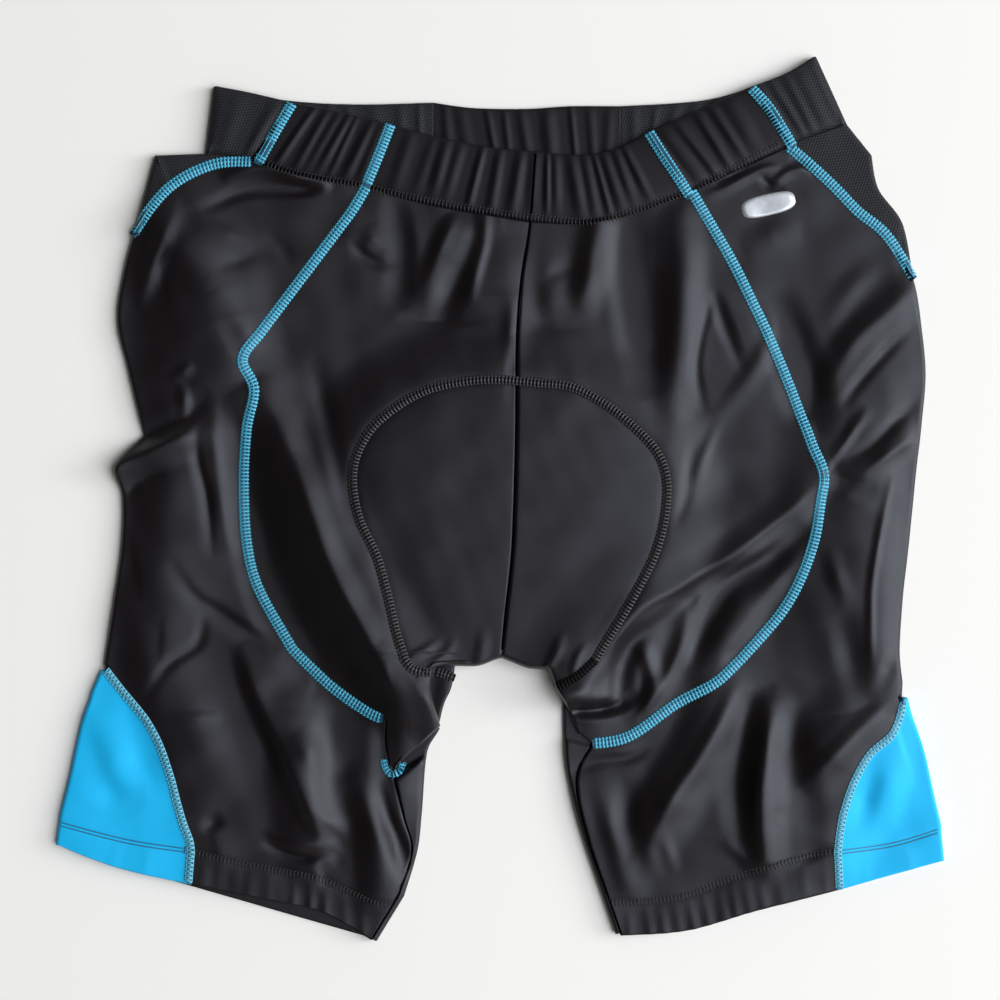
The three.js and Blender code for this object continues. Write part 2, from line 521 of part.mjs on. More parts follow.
// A mesh length of band: in front from the hip seam to the end of the band, round it, and along the back.
function endBand(name, frontLow, backLow) {
  const radius = BAND_LAYERS / 2;
  const top = BAND_TOPS[name].at(-1);
  const low = frontLow.at(-1);
  const out = outward([top, low], 0, BAND_TOPS[name][0]);
  const inset = (p, share) => [p[0] - out[0] * radius * share, p[1] - out[1] * radius * share];
  const front = stretch(BAND_TOPS[name], halved(frontLow), (p, u) => inset(p, u));
  const under = halved(backLow);
  const back = Array.from({ length: BAND_STEPS + 1 }, (_, r) => under.map((p, c) => {
    const u = c / (under.length - 1);
    return inset(mix(along(BACK_BAND_TOPS[name], u), p, r / BAND_STEPS), 1 - u);
  }));
  return shell(name, MESH, front.map((row, r) => [
    ...row.map(bandUpper(r)),
    ...roll(mix(top, low, r / BAND_STEPS), out, radius, BAND_WALL),
    ...back[r].map(bandUnder(r)),
  ]));
}

// Evenly spaced points of a straight line.
const even = (p, q, steps) => Array.from({ length: steps + 1 }, (_, i) => mix(p, q, i / steps));

function waistband() {
  const backLeft = LEFT_ROWS[1].back;
  const backRight = RIGHT_ROWS[1].back;
  const spine = centreSeam(LEFT_ROWS[1].spine);
  const leftEnd = column(LEFT_ROWS, 'rim', 0, 1);
  const rightEnd = column(RIGHT_ROWS, 'rim', 0, 1);
  return [
    frontBand('waist_front_left', topLine(left, 0, 'leg', 'centre', CENTRE_ACROSS)),
    frontBand('waist_front_right', topLine(right, 0, 'leg', 'centre', CENTRE_ACROSS).reverse()),
    frontBand('waist_side_left', topLine(left, 0, 'leg', 'edge', THIGH_ACROSS).reverse()),
    frontBand('waist_side_right', topLine(right, 0, 'leg', 'edge', THIGH_ACROSS)),
    endBand('waist_mesh_left', leftEnd, even(leftEnd.at(-1), backLeft, HIP_BACK_ACROSS)),
    endBand('waist_mesh_right', rightEnd, even(rightEnd.at(-1), backRight, HIP_BACK_ACROSS)),
    backBand('waist_back', [...even(backLeft, spine, BACK_ACROSS), ...even(spine, backRight, BACK_ACROSS).slice(1)]),
  ];
}

// The seat pad, between the two layers: flat below, with the form of the front above.
function seatPad() {
  const rowsDown = 12;
  const across = 12;
  const [top, bottom] = PAD_ENDS;
  const floor = CLOTH + PAD_FLOOR;
  const grid = Array.from({ length: rowsDown + 1 }, (_, r) => {
    const y = lerp(top, bottom, r / rowsDown);
    const crossings = PAD_LINE.flatMap((p, i) => {
      const q = PAD_LINE[(i + 1) % PAD_LINE.length];
      return p[1] > y !== q[1] > y ? [lerp(p[0], q[0], (y - p[1]) / (q[1] - p[1]))] : [];
    });
    const from = Math.min(...crossings) + PAD_MARGIN;
    const to = Math.max(...crossings) - PAD_MARGIN;
    return Array.from({ length: across + 1 }, (_, c) => {
      const x = lerp(from, to, c / across);
      const z = upper(x, y) - CLOTH - PAD_CLEAR;
      return cell(x, y, z, UP, z - floor);
    });
  });
  return shell('seat_pad', FOAM, grid);
}

// A plain reflective oval on the right hip, laid on the panel.
function reflectivePatch() {
  const { centre, halfLength, halfWidth, tilt, wall, lift } = PATCH;
  const steps = 6;
  const grid = Array.from({ length: steps + 1 }, (_, r) => Array.from({ length: steps + 1 }, (_, c) => {
    const [a, b] = [(2 * c) / steps - 1, (2 * r) / steps - 1];
    const u = a * Math.sqrt(1 - (b * b) / 2) * halfLength;
    const w = b * Math.sqrt(1 - (a * a) / 2) * halfWidth;
    const x = centre[0] + u * Math.cos(tilt) - w * Math.sin(tilt);
    const y = centre[1] + u * Math.sin(tilt) + w * Math.cos(tilt);
    return cell(x, y, upper(x, y) + lift + wall, UP, wall);
  }));
  return shell('reflective_patch', SILVER, grid);
}

// The origin lies under the middle of the whole, on the surface.
const shorts = new THREE.Group();
shorts.add(...halfPanels('left', left), ...halfPanels('right', right), ...waistband(), seatPad(), reflectivePatch());
const box = new THREE.Box3().setFromObject(shorts);
const middle = box.getCenter(new THREE.Vector3());
shorts.position.set(-middle.x, -middle.y, -box.min.z);
const part = new THREE.Group();
part.add(shorts);

export default part;
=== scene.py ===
# Cycling shorts laid flat on their back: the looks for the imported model. The tables are in millimetres and
# have the panel lines of the model. What is marked as picture points is in pixels of the photograph.
import math

import bpy
import numpy as np
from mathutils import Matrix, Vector
from mathutils.bvhtree import BVHTree


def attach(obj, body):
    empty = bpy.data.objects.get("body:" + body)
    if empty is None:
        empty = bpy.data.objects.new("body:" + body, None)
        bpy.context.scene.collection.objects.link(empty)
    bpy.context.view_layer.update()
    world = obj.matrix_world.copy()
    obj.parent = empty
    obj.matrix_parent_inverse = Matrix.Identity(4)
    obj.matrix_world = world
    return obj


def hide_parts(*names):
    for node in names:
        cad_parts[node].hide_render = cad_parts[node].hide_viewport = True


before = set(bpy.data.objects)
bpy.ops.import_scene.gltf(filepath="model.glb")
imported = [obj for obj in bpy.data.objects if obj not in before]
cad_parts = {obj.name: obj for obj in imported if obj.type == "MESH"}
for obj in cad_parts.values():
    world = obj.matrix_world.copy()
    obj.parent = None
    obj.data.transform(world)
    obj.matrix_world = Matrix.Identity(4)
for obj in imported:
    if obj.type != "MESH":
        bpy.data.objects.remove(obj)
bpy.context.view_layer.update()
bpy.ops.object.select_all(action="DESELECT")

MM = 0.001
SHIFT = (0.0, -0.5)           # from the middle of the tables to the middle of the frame
PICTURE_MM = 0.565            # one pixel of the photograph
PICTURE_MIDDLE = (500, 499.5)

CLOTH = 0.8                   # wall of a panel
LAYERS = 4.6                  # upper face where two panels lie on each other
BAND_LAYERS = 5.4             # the same for the waistband
BAND_WALL = 2.1               # its casing, elastic included
GRAIN = 2.2                   # distance between two points of a panel
MOST_SWING = 1.3              # of a curve at a point, against the distance to the next
LOWEST = 2.6                  # the front cloth over the back one, where a trough is deepest
LEVELLING = 1.2               # how gently a trough levels out there
RIPPLE_RISE = 0.0055          # of the soft unevenness, for each millimetre of a ripple's length
PAD_RISE = 10.5               # how far the seat pad lifts the front
PAD_LIP = 7.5                 # of which at its stitch line
PAD_SLOPE = 44                # from the stitch line in to the full rise
PAD_SKIRT = 38                # and out to where the front lies flat again
PAD_FLOOR = 1.7               # height of the pad's underside
PAD_COVER = 3.2               # from the pad up to the front's upper face
PAD_INSET = 5                 # from the stitch line in to the pad's edge
ROLL = np.radians([75, 55, 35, 15, -5, -25, -45, -65, -85])    # round a turned edge
EDGE_REACH = 3.0              # how far a turned edge reaches out, at most
OWN_LOWEST = 2.4              # a panel with folds of its own, where they are deepest
OWN_TURN = 1.8                # and how high its turned edge is there, at least
INSEAM_TOPS = (2.8, 2.9, 30)  # the most that the inner leg's edge rises, along its first rows
TUCK = 10                     # how far a loose fold's edge is tucked under
TUCK_BASES = (0, 1.4, 1.4, 3.3)    # and the heights it lies on, along it
BAND_ROWS = 14                # points from the waistband's upper edge to its seam
BAND_GRAIN = 0.9              # and the distance between two along it
BAND_CLOTH = 0.45             # wall of its cloth
COVER_PITCH, COVER_WIDTH = 2.0, 6.2    # of a flat seam's stitches
PAD_SEAM_WIDTH = 5.2
GUSSET_PITCH, GUSSET_WIDTH = 2.4, 4.6
THREAD, FINE_THREAD = 0.34, 0.2
RIBBON_SHARE = 0.84           # of the stitches' width
RIBBON_CROWN, LINE_CROWN = 0.3, 0.14   # how far a ribbon or a dark line stands up in the middle
PATCH = {"centre": (151, 166), "half_length": 15.5, "half_width": 6, "tilt": 0.23, "lift": 0.5, "wall": 0.45}

# The centre seams, front and back, from the waist to the crotch.
CENTRE_SEAM = [
    (20.5, 196), (17.5, 156), (12.5, 124), (10, 90), (9.5, 40), (8.5, 0), (7, -32), (3.5, -64), (1, -89),
]

# Each row crosses one half of the shorts once, from its outer to its inner edge, and the rows run from the
# waistband to the hem. A lone number is a height on the centre seam. The last column names the lines that
# have a corner at this row.
ROW_NAMES = ("rim", "edge", "leg", "centre", "back", "spine", "turn")
LEFT_ROWS = [
    [(-140.5, 191.5), (-140, 190), (-75.5, 176), 156, None, None, "rim"],
    [(-166, 195), (-162, 188.5), (-83.5, 162.5), 141, (-37.5, 185.5), 185, "rim"],
    [(-194.5, 194), (-186.5, 175), (-95, 147), 124, (-96, 151), 158, "rim"],
    [(-206, 150), (-207, 148.5), (-108.5, 129), 108, (-161, 112.5), 133, "rim edge back"],
    [None, (-212, 129.5), (-121, 112.5), 92, (-162.5, 98.5), 106, ""],
    [None, (-216, 101.5), (-134.5, 94), 75, (-165.5, 76), 75, ""],
    [None, (-210, 73.5), (-144.5, 78.5), 60, (-168.5, 53.5), 60, ""],
    [None, (-201, 36), (-138, 61.5), 42, (-172, 31), 42, "edge"],
    [None, (-217, 18.5), (-142.5, 39.5), 22, (-174, 16.5), 22, ""],
    [None, (-213, 1.5), (-144.5, 11), -2, (-177.5, -0.5), -2, ""],
    [None, (-213.5, -25), (-143, -23), -29, (-185.5, -28.5), -29, ""],
    [None, (-217.5, -54.5), (-136.5, -49.5), -58, (-197.5, -57), -58, ""],
    [None, (-223.5, -93.5), (-118.5, -82), -89, (-210.5, -95), -78, "edge centre spine"],
    [(-225, -96), (-222, -96), (-116.5, -85), (-2.5, -90), (-210.5, -97), (-2.5, -78.5), ""],
    [(-230, -107.5), (-213, -107.5), (-99, -102), (-12.5, -93.5), (-208, -113.5), (-12.5, -81), ""],
    [(-231.5, -112.5), (-207, -114.5), (-87.5, -111), (-24.5, -93.5), (-207, -122), (-24, -81.5),
     "centre spine"],
    [(-236, -125.5), (-199, -124.5), (-73.5, -120), (-36.5, -93), (-203.5, -133), (-27, -104), "centre"],
    [(-239.5, -140.5), (-191.5, -138.5), (-63.5, -124), (-38.5, -107.5), (-200, -146), (-31.5, -115.5),
     "leg"],
    [(-243, -157), (-185.5, -156), (-63.5, -138), (-33.5, -127), (-197, -161.5), (-34, -129), "centre"],
    [(-246, -169), (-182, -170), (-60, -154), (-57, -150), (-195.5, -172.5), (-41, -142.5), "leg centre"],
    [(-248, -177), (-178.5, -182), (-54, -178.5), None, (-195, -180), (-44, -176.5), ""],
    [(-248.5, -181), (-175, -191.5), (-49.5, -198), None, (-195, -186.5), (-46.5, -198), ""],
    [(-249, -184), (-174, -197.5), (-57, -223), None, (-195, -193.5), (-54, -223.5), "rim edge leg spine"],
    [(-250.5, -194.5), (-175.5, -216.5), (-72.5, -248), None, (-196, -212), (-69.5, -249), ""],
]
RIGHT_ROWS = [
    [(163, 200), (162.5, 198.5), (107.5, 173.5), 156, None, None, "rim"],
    [(195.5, 211.5), (174.5, 188.5), (119, 154), 141, (68, 185.5), 185, "rim"],
    [(209.5, 194), (188, 176), (130.5, 134), 124, (101.5, 160.5), 158, "rim"],
    [(213.5, 175), (201.5, 162), (140, 115), 108, (133, 138), 133, ""],
    [(227, 155.5), (217.5, 148.5), (150.5, 93.5), 92, (158, 121), 106, ""],
    [(232.5, 127), (233, 124), (161, 69), 75, (181, 106), 75, "rim edge back"],
    [None, (236.5, 106), (168.5, 49.5), 60, (181.5, 84.5), 60, ""],
    [None, (240, 73), (175.5, 30), 42, (182.5, 50.5), 42, ""],
    [None, (238, 45), (181.5, 14.5), 22, (184, 22.5), 22, ""],
    [None, (234.5, 14), (180, -0.5), -2, (186.5, -0.5), -2, ""],
    [None, (230.5, -25), (176.5, -22), -29, (191, -31.5), -29, ""],
    [None, (227, -54.5), (169, -44), -58, (197.5, -57), -58, ""],
    [None, (225, -85), (157.5, -64.5), -89, (208, -88), -78, "centre spine"],
    [None, (226.5, -102.5), (138.5, -86.5), (14, -94.3), (213.5, -103.5), (12.5, -82.5), "edge"],
    [(229.5, -111.5), (226, -111), (131.5, -93.5), (20.5, -95.2), (213, -112.5), (20, -83.5), ""],
    [(232, -120.5), (225, -120.5), (120, -103.5), (27, -95.4), (212, -122.5), (26, -83), "centre spine"],
    [(235.5, -130), (220, -132), (99, -115), (31.5, -106.5), (210, -134), (30, -104), ""],
    [(239.5, -142.5), (207.5, -143), (73, -133), (37.5, -116.5), (208.5, -148.5), (35, -111.5), ""],
    [(242.5, -155.5), (199, -157.5), (52, -137.5), (44.5, -132), (207.5, -161.5), (36, -133), "leg"],
    [(246, -171.5), (193, -174.5), (43, -157.5), None, (207, -174.5), (37.5, -153), ""],
    [(248.5, -182), (190.5, -188), (49, -189.5), None, (206, -184.5), (45, -185.5), ""],
    [(249, -188), (189.5, -198), (61.5, -225.5), None, (206, -193.5), (58, -224.5), "rim edge leg spine"],
    [(250.5, -203.5), (191, -219.5), (68.5, -245.5), None, (207, -215), (65, -245), ""],
]

# Rows whose line between two columns is curved: the points it passes on its way.
LEFT_BENDS = [
    (0, "edge", "leg", [(-111.5, 181.5)]),
    (0, "leg", "centre", [(-45, 167), (-14, 161)]),
    (13, "leg", "centre", [(-60, -87), (-20, -88.6)]),
    (14, "leg", "centre", [(-62, -95.5), (-27, -91.6)]),
    (15, "leg", "centre", [(-62, -102), (-36, -93.8)]),
    (16, "leg", "centre", [(-57, -108.5), (-45, -99)]),
    (23, "edge", "leg", [(-122.5, -227), (-99, -232.5)]),
    (23, "rim", "edge", [(-217, -207)]),
]
RIGHT_BENDS = [
    (0, "leg", "centre", [(79, 162.5), (51, 155.5)]),
    (21, "edge", "leg", [(151.5, -206.5), (106, -223)]),
    (22, "edge", "leg", [(145, -231), (106, -242.5)]),
]

# The table rows over which each panel passes round the outline, and the last row of the front's flap.
SPANS = {
    "left": {"hip": (1, 3), "thigh": (3, 12), "gusset": (13, 23), "inseam": (18, 23), "crotch": (12, 15),
             "flap": 19},
    "right": {"hip": (1, 5), "thigh": (5, 14), "gusset": (14, 22), "inseam": (17, 22), "crotch": (12, 15),
              "flap": 18},
}

# The broad forms of the upper layer, as in the model. Route of the crest, rise along it, half-widths on the
# left and right seen along the route.
FORMS = [
    ([(-140, 67.5), (-118.5, 33.5), (-103, -3), (-83.5, -48.5), (-65, -79.5), (-44, -110.5), (-40, -128)],
     [2, 4, 6, 7, 6, 5, 3], 30, 38),
    ([(-184, 96), (-178, 45), (-184, -12), (-188, -57)], [2, 4, 4, 2], 42, 30),
    ([(-177, 160), (-166, 135), (-156, 100), (-148, 66)], [3, 5, 7, 2], 34, 46),
    ([(2.5, 148), (3.5, 114), (4, 92)], [1, 4.5, 2], 20, 48),
    ([(148, 120), (160, 84), (172, 52)], [0, -3, -4], 22, 16),
    ([(-217, 16), (-178, 33.5), (-160, 39)], [4, 3, 1], 12, 14),
    ([(-198, 161), (-178, 140), (-160, 118)], [2, 3, 1], 18, 18),
    ([(-200, -60), (-192, -100), (-178, -140), (-166, -178)], [2, 4, 3, 1], 44, 24),
    ([(-107, -118), (-109, -150), (-103, -198)], [2, 6, 4], 15, 26),
    ([(-78, -160), (-68, -190), (-70, -222)], [2, 5, 2], 16, 16),
    ([(-60, -112), (-58, -140), (-57, -164), (-60, -186)], [1, 3, 3.5, 1], 18, 32),
    ([(180, 11), (155, -20), (133, -31), (114, -39), (93, -54.5), (71, -70), (57, -84), (42, -108)],
     [2, 4, 5, 4.5, 4.5, 4.5, 4.5, 4], 12, 44),
    ([(222, 120), (213, 40), (210, -30), (211, -85), (218, -112)], [1, 4, 7, 7, 2], 26, 62),
    ([(214, -118), (198, -150), (180, -190), (172, -214)], [1, 5, 6, 3], 40, 88),
    ([(229, 116), (203, 90), (181, 56)], [2, 2, 1], 20, 18),
    ([(226, 33.5), (198, 11)], [3, 1], 12, 14),
    ([(126, -104), (112, -138), (95, -168), (80, -192)], [3, 5, 6, 3], 24, 20),
    ([(152, -118), (147, -160), (148, -202)], [3, 6, 4], 17, 15),
    ([(226, -106), (204, -124), (186, -143), (168, -162)], [2, 4, 5, 2], 20, 32),
    ([(102, 155), (102, 107), (98, 56)], [2, 4, 2], 18, 16),
    ([(57.5, 152), (52.5, 125), (45.5, 106)], [2, 3, 1], 12, 14),
    ([(-25.5, 149), (-39.5, 118)], [3, 2], 14, 14),
]

# The finer folds, as picture points. Heights in millimetres along the route, below nought for a trough, the
# half-widths on both sides, and how crisp the crest is, from 0 to 1.
FOLDS = [
    # upper left leg
    ([(202, 213), (216, 206), (236, 196), (258, 191), (284, 190), (303, 190), (324, 187)],
     [0, -1, -2, -3, -4.5, -5, 0], 7, 6, 0.6),
    ([(222, 180), (245, 172), (270, 170), (296, 178), (318, 184), (332, 187)],
     [0, 3, 4.5, 5, 4, 0], 7, 7, 0.4),
    ([(176, 215), (165, 240), (152, 275), (140, 310)], [1, 3, 3, 0], 9, 14, 0.6),
    ([(172, 243), (164, 255), (157, 268)], [0, -1.2, 0], 3, 3, 0.8),
    ([(196, 226), (230, 236), (266, 250)], [0, 1.3, 0], 8, 12, 0.2),
    ([(228, 300), (246, 330), (262, 356)], [0, 1.6, 0], 7, 9, 0.3),
    ([(216, 268), (240, 262), (262, 254)], [0, -0.9, 0], 7, 6, 0.3),
    ([(266, 234), (284, 252), (294, 266)], [0, -0.9, 0], 7, 6, 0.3),
    ([(171, 382), (186, 372), (196, 366)], [0, 1.8, 0], 5, 6, 0.5),
    ([(182, 384), (187, 400), (185, 424)], [0, 1.8, 0], 5, 6, 0.5),
    ([(144, 437), (165, 428), (190, 415), (212, 392)], [-3, -3, -2, 0], 10, 8, 0.4),
    ([(120, 466), (150, 452), (180, 440), (200, 436)], [2.5, 2.5, 1.6, 0], 9, 9, 0.4),
    ([(131, 482), (148, 477), (168, 471)], [0, -1.3, 0], 3, 4, 0.8),
    ([(126, 494), (134, 489), (142, 485)], [0, -1.2, 0], 3, 4, 0.8),
    ([(198, 425), (200, 460), (209, 500), (214, 560)], [0, -2, -2, 0], 4, 7, 0.7),
    ([(216, 400), (217, 450), (224, 510), (232, 560)], [0, 1.6, 1.4, 0], 6, 8, 0.4),
    # the long fold beside the blue seam
    ([(252, 378), (270, 405), (287, 438), (299, 468), (312, 505), (331, 561), (352, 603), (372, 640),
      (390, 676), (400, 712), (404, 744)], [0, 3, 5, 6.5, 7, 7, 7, 6, 4, 2, 0], 13, 36, 0.5),
    ([(243, 400), (245, 450), (248, 510), (262, 590), (294, 650), (340, 696)],
     [0, -2, -3, -3.5, -3, 0], 26, 14, 0.1),
    ([(312, 352), (328, 420), (346, 498), (366, 560)], [0, -1.6, -1.8, 0], 9, 8, 0.2),
    # lower left leg
    ([(170, 560), (196, 596), (218, 611), (236, 623), (262, 640), (282, 650)],
     [0, -1.5, -2.2, -2.8, -1.6, 0], 6, 9, 0.5),
    ([(204, 612), (199, 642), (170, 664), (144, 702)], [0, -1.6, -1.6, 0], 6, 5, 0.5),
    ([(243, 640), (255, 684), (272, 722), (290, 762), (312, 808), (330, 838)],
     [0, 4.5, 6, 6, 5, 1], 30, 9, 0.2),
    ([(296, 730), (312, 750), (326, 776)], [0, 2, 0], 12, 8, 0.2),
    ([(318, 806), (332, 820), (346, 836)], [0, 2.4, 0.5], 9, 6, 0.4),
    ([(262, 840), (285, 852), (307, 857), (334, 848)], [0, -3, -4, 0], 6, 4, 0.6),
    ([(266, 830), (292, 842), (318, 842)], [0, 2, 1], 5, 5, 0.3),
    ([(170, 717), (200, 716), (224, 716)], [0, 1.2, 0], 5, 7, 0.4),
    ([(204, 830), (214, 822), (223, 816)], [0, -2.2, 0], 7, 6, 0.2),
    ([(190, 700), (210, 745), (230, 800)], [0, 1.6, 0], 16, 16, 0),
    ([(376, 776), (390, 820), (407, 864)], [0, -5, -3], 6, 9, 0.2),
    ([(350, 770), (364, 800), (380, 836), (394, 874), (388, 905)], [0, 1, 2, 2.6, 1], 9, 22, 0.1),
    # upper front, left of the centre seam
    ([(396, 212), (402, 250), (398, 300)], [-1, -2.5, -1], 10, 12, 0.1),
    ([(352, 240), (362, 255), (378, 264), (398, 266)], [0, -1.6, -1.6, 0], 5, 6, 0.5),
    ([(368, 225), (372, 240), (364, 252)], [0, 1.6, 0], 9, 8, 0.3),
    ([(452, 222), (440, 248), (424, 290)], [1.5, 2, 0], 7, 5, 0.6),
    ([(486, 216), (484, 245), (476, 275), (470, 305)], [1.5, 2.5, 2.5, 0], 5, 8, 0.6),
    ([(460, 262), (452, 290), (445, 312)], [0, -2.6, -1.5], 12, 12, 0.1),
    ([(396, 318), (440, 322), (488, 322)], [0, -1.8, 0], 7, 4, 0.5),
    ([(515, 296), (512, 330), (510, 370)], [0, 1.8, 0], 3, 7, 0.4),
    # upper front, right of the centre seam
    ([(598, 220), (590, 253), (584, 290), (574, 312)], [1, 1.7, 1.4, 0], 8, 14, 0.4),
    ([(545, 250), (552, 300), (560, 330)], [0, 1.8, 0], 14, 12, 0.1),
    ([(540, 286), (560, 272), (584, 268)], [0, -0.8, 0], 6, 7, 0.3),
    ([(530, 346), (555, 336), (590, 338)], [0, 0.8, 0], 9, 12, 0.1),
    ([(624, 214), (628, 280), (636, 350), (648, 400)], [-1.5, -3.8, -2.8, 0], 22, 14, 0),
    ([(684, 212), (686, 260), (682, 310), (676, 370), (672, 440), (678, 476)],
     [0.6, 1.2, 1.2, 1.2, 0.8, 0], 14, 12, 0.2),
    ([(712, 290), (722, 325), (738, 364)], [0, -4, -0.5], 7, 4, 0.6),
    ([(709, 306), (699, 345), (697, 376), (705, 416)], [-1, -2.2, -2.2, 0], 3, 6, 0.8),
    ([(719, 420), (704, 452), (696, 484)], [0, 1.8, 0], 5, 4, 0.8),
    ([(692, 444), (688, 470), (684, 500), (672, 530)], [0, -1.8, -1.4, 0], 5, 5, 0.5),
    ([(762, 300), (772, 330), (752, 372), (706, 430)], [0, 1.4, 1.6, 0], 10, 8, 0.3),
    # right thigh
    ([(704, 196), (722, 190), (740, 180), (762, 170), (780, 168)], [0, 1.8, 2.4, 2, 0], 3, 5, 0.7),
    ([(716, 182), (732, 176), (748, 170)], [-1, -2.6, 0], 3, 3, 0.5),
    ([(760, 176), (768, 186), (784, 190)], [0, -2.6, 0], 3, 4, 0.5),
    ([(770, 188), (782, 176), (798, 170), (812, 174)], [0, 2, 2.2, 0], 3, 5, 0.7),
    ([(792, 160), (806, 166), (818, 176)], [-1, -1.6, 0], 3, 3, 0.5),
    ([(768, 290), (788, 340), (804, 378), (818, 404)], [0, -2, -2.6, 0], 18, 8, 0.1),
    ([(742, 250), (770, 236), (800, 232)], [0, 1.6, 0], 12, 14, 0.1),
    ([(905, 295), (880, 318), (850, 345), (822, 396)], [1, 1.8, 2, 0], 8, 12, 0.4),
    ([(880, 262), (850, 290), (822, 330)], [0, 1.4, 0], 9, 11, 0.3),
    ([(914, 322), (884, 352), (856, 384), (838, 410)], [0, -2, -2, 0], 6, 6, 0.5),
    ([(868, 408), (850, 432), (831, 462)], [0, 2, 0], 5, 6, 0.8),
    ([(918, 400), (896, 420), (870, 446), (842, 462)], [0, -1.8, -1.6, 0], 6, 6, 0.4),
    ([(912, 438), (884, 456), (856, 478)], [0.5, 1.8, 0], 5, 6, 0.7),
    ([(822, 474), (846, 482), (874, 488)], [0, -1.8, 0], 5, 4, 0.7),
    ([(824, 492), (846, 496), (872, 506)], [0, 1.2, 0], 4, 6, 0.5),
    ([(891, 473), (880, 522), (870, 577), (868, 623), (869, 668)], [0, 1.8, 1.8, 1.6, 0], 3, 5, 0.9),
    ([(826, 546), (834, 576), (846, 606)], [0, 1.6, 0], 8, 7, 0.3),
    ([(838, 610), (848, 650), (858, 690)], [0, -2.4, -1], 14, 12, 0.1),
    ([(900, 640), (885, 668), (876, 690)], [0, -1.6, 0], 8, 7, 0.3),
    # puckers where the pad turns under at the crotch
    ([(408, 656), (424, 649), (442, 636)], [0.6, 1.5, 0], 3, 4, 0.4),
    ([(432, 662), (446, 652), (456, 636)], [0.6, 1.4, 0], 3, 4, 0.4),
    ([(478, 664), (482, 646), (484, 626)], [0.5, 1.1, 0], 5, 6, 0.3),
    ([(546, 668), (556, 650), (562, 630)], [0.8, 1.5, 0], 4, 4, 0.3),
    ([(572, 668), (577, 654), (586, 640)], [0.8, 1.6, 0], 3, 4, 0.4),
    # the folds that run to the crotch
    ([(812, 484), (794, 506), (768, 527), (742, 547), (722, 561), (699, 574), (673, 590), (650, 601),
      (634, 613), (617, 633), (604, 653)], [0, 2, 2.8, 2.8, 2.8, 2.4, 2.4, 2.4, 2.4, 2, 0], 4, 14, 0.8),
    ([(800, 520), (770, 552), (742, 574), (716, 600), (700, 636), (692, 668)],
     [0, -3, -3.5, -3.5, -3, 0], 15, 7, 0.2),
    ([(801, 548), (775, 581), (752, 610), (729, 643), (716, 672)], [0, 2, 2.4, 2, 0], 9, 11, 0.4),
    ([(704, 588), (698, 600), (694, 614)], [0, 1.2, 0], 4, 5, 0.6),
    ([(690, 600), (686, 616), (681, 640), (672, 664), (656, 692), (636, 716)],
     [0, 2, 3, 3, 3, 1.5], 10, 10, 0.7),
    ([(650, 622), (634, 638), (622, 664), (618, 690)], [0, -2.6, -4, -3], 10, 9, 0),
    ([(636, 640), (646, 656), (652, 682), (646, 706)], [0, 2.4, 3, 1], 8, 7, 0.3),
    ([(762, 566), (738, 600), (714, 640), (700, 672)], [0, 2.2, 2.6, 1], 13, 12, 0.2),
    ([(615, 640), (603, 664), (586, 686), (562, 694)], [0, 1, 1.8, 1.6], 12, 9, 0.1),
    ([(626, 698), (604, 706), (578, 707)], [0, -4, -3], 6, 6, 0.2),
    # the blue panels
    ([(100, 706), (118, 760), (140, 800)], [0, 2.4, 0], 15, 13, 0),
    ([(84, 776), (112, 792), (146, 796)], [0, -1.6, 0], 11, 12, 0),
    ([(898, 730), (890, 780), (876, 830)], [0, 2.4, 0], 14, 14, 0),
    ([(872, 762), (862, 800), (856, 840)], [0, -2, 0], 10, 10, 0),
    # lower right leg
    ([(738, 676), (727, 704), (709, 738), (692, 766), (668, 800), (648, 846)],
     [0, 2, 3, 3, 3, 1], 12, 8, 0.5),
    ([(752, 690), (742, 735), (736, 790), (748, 840)], [0, -2.6, -3.4, -1.5], 14, 14, 0.1),
    ([(768, 706), (764, 740), (757, 782), (756, 820), (762, 856)], [0, 2.4, 3, 3, 1], 10, 6, 0.5),
    ([(790, 702), (790, 746), (800, 790), (804, 840)], [0, -2.6, -2.6, -1], 15, 16, 0.1),
    ([(900, 686), (862, 722), (828, 756), (797, 786)], [1, 1.8, 2.2, 0.5], 12, 9, 0.5),
    ([(628, 776), (626, 820), (634, 866)], [0, -2.8, -1], 12, 10, 0.1),
    ([(662, 826), (668, 850), (676, 872)], [0, 1.6, 0], 5, 7, 0.5),
    ([(722, 838), (738, 852), (748, 866)], [0, 1.6, 0], 6, 5, 0.5),
    ([(598, 780), (612, 830), (628, 888)], [0, 2, 1], 14, 9, 0.2),
    ([(574, 768), (600, 760), (628, 757), (648, 748)], [-1, -2.2, -2.2, 0], 4, 5, 0.5),
    ([(590, 756), (616, 748), (644, 742)], [0, 1, 0], 6, 7, 0.2),
    ([(790, 868), (812, 852), (834, 846)], [0, -1.4, 0], 5, 5, 0.3),
]

# The soft unevenness all over, as waves: length in millimetres and heading in radians. The pad stays calmer.
RIPPLES = [(17, 0.3), (23, 1.1), (29, 2.0), (36, 2.7), (21, 1.6), (44, 0.9), (26, 2.4), (33, 0.1)]
CALM_MIDDLE, CALM_REACH, CALM_LEAST = (-2, -23), (95, 88), 0.6

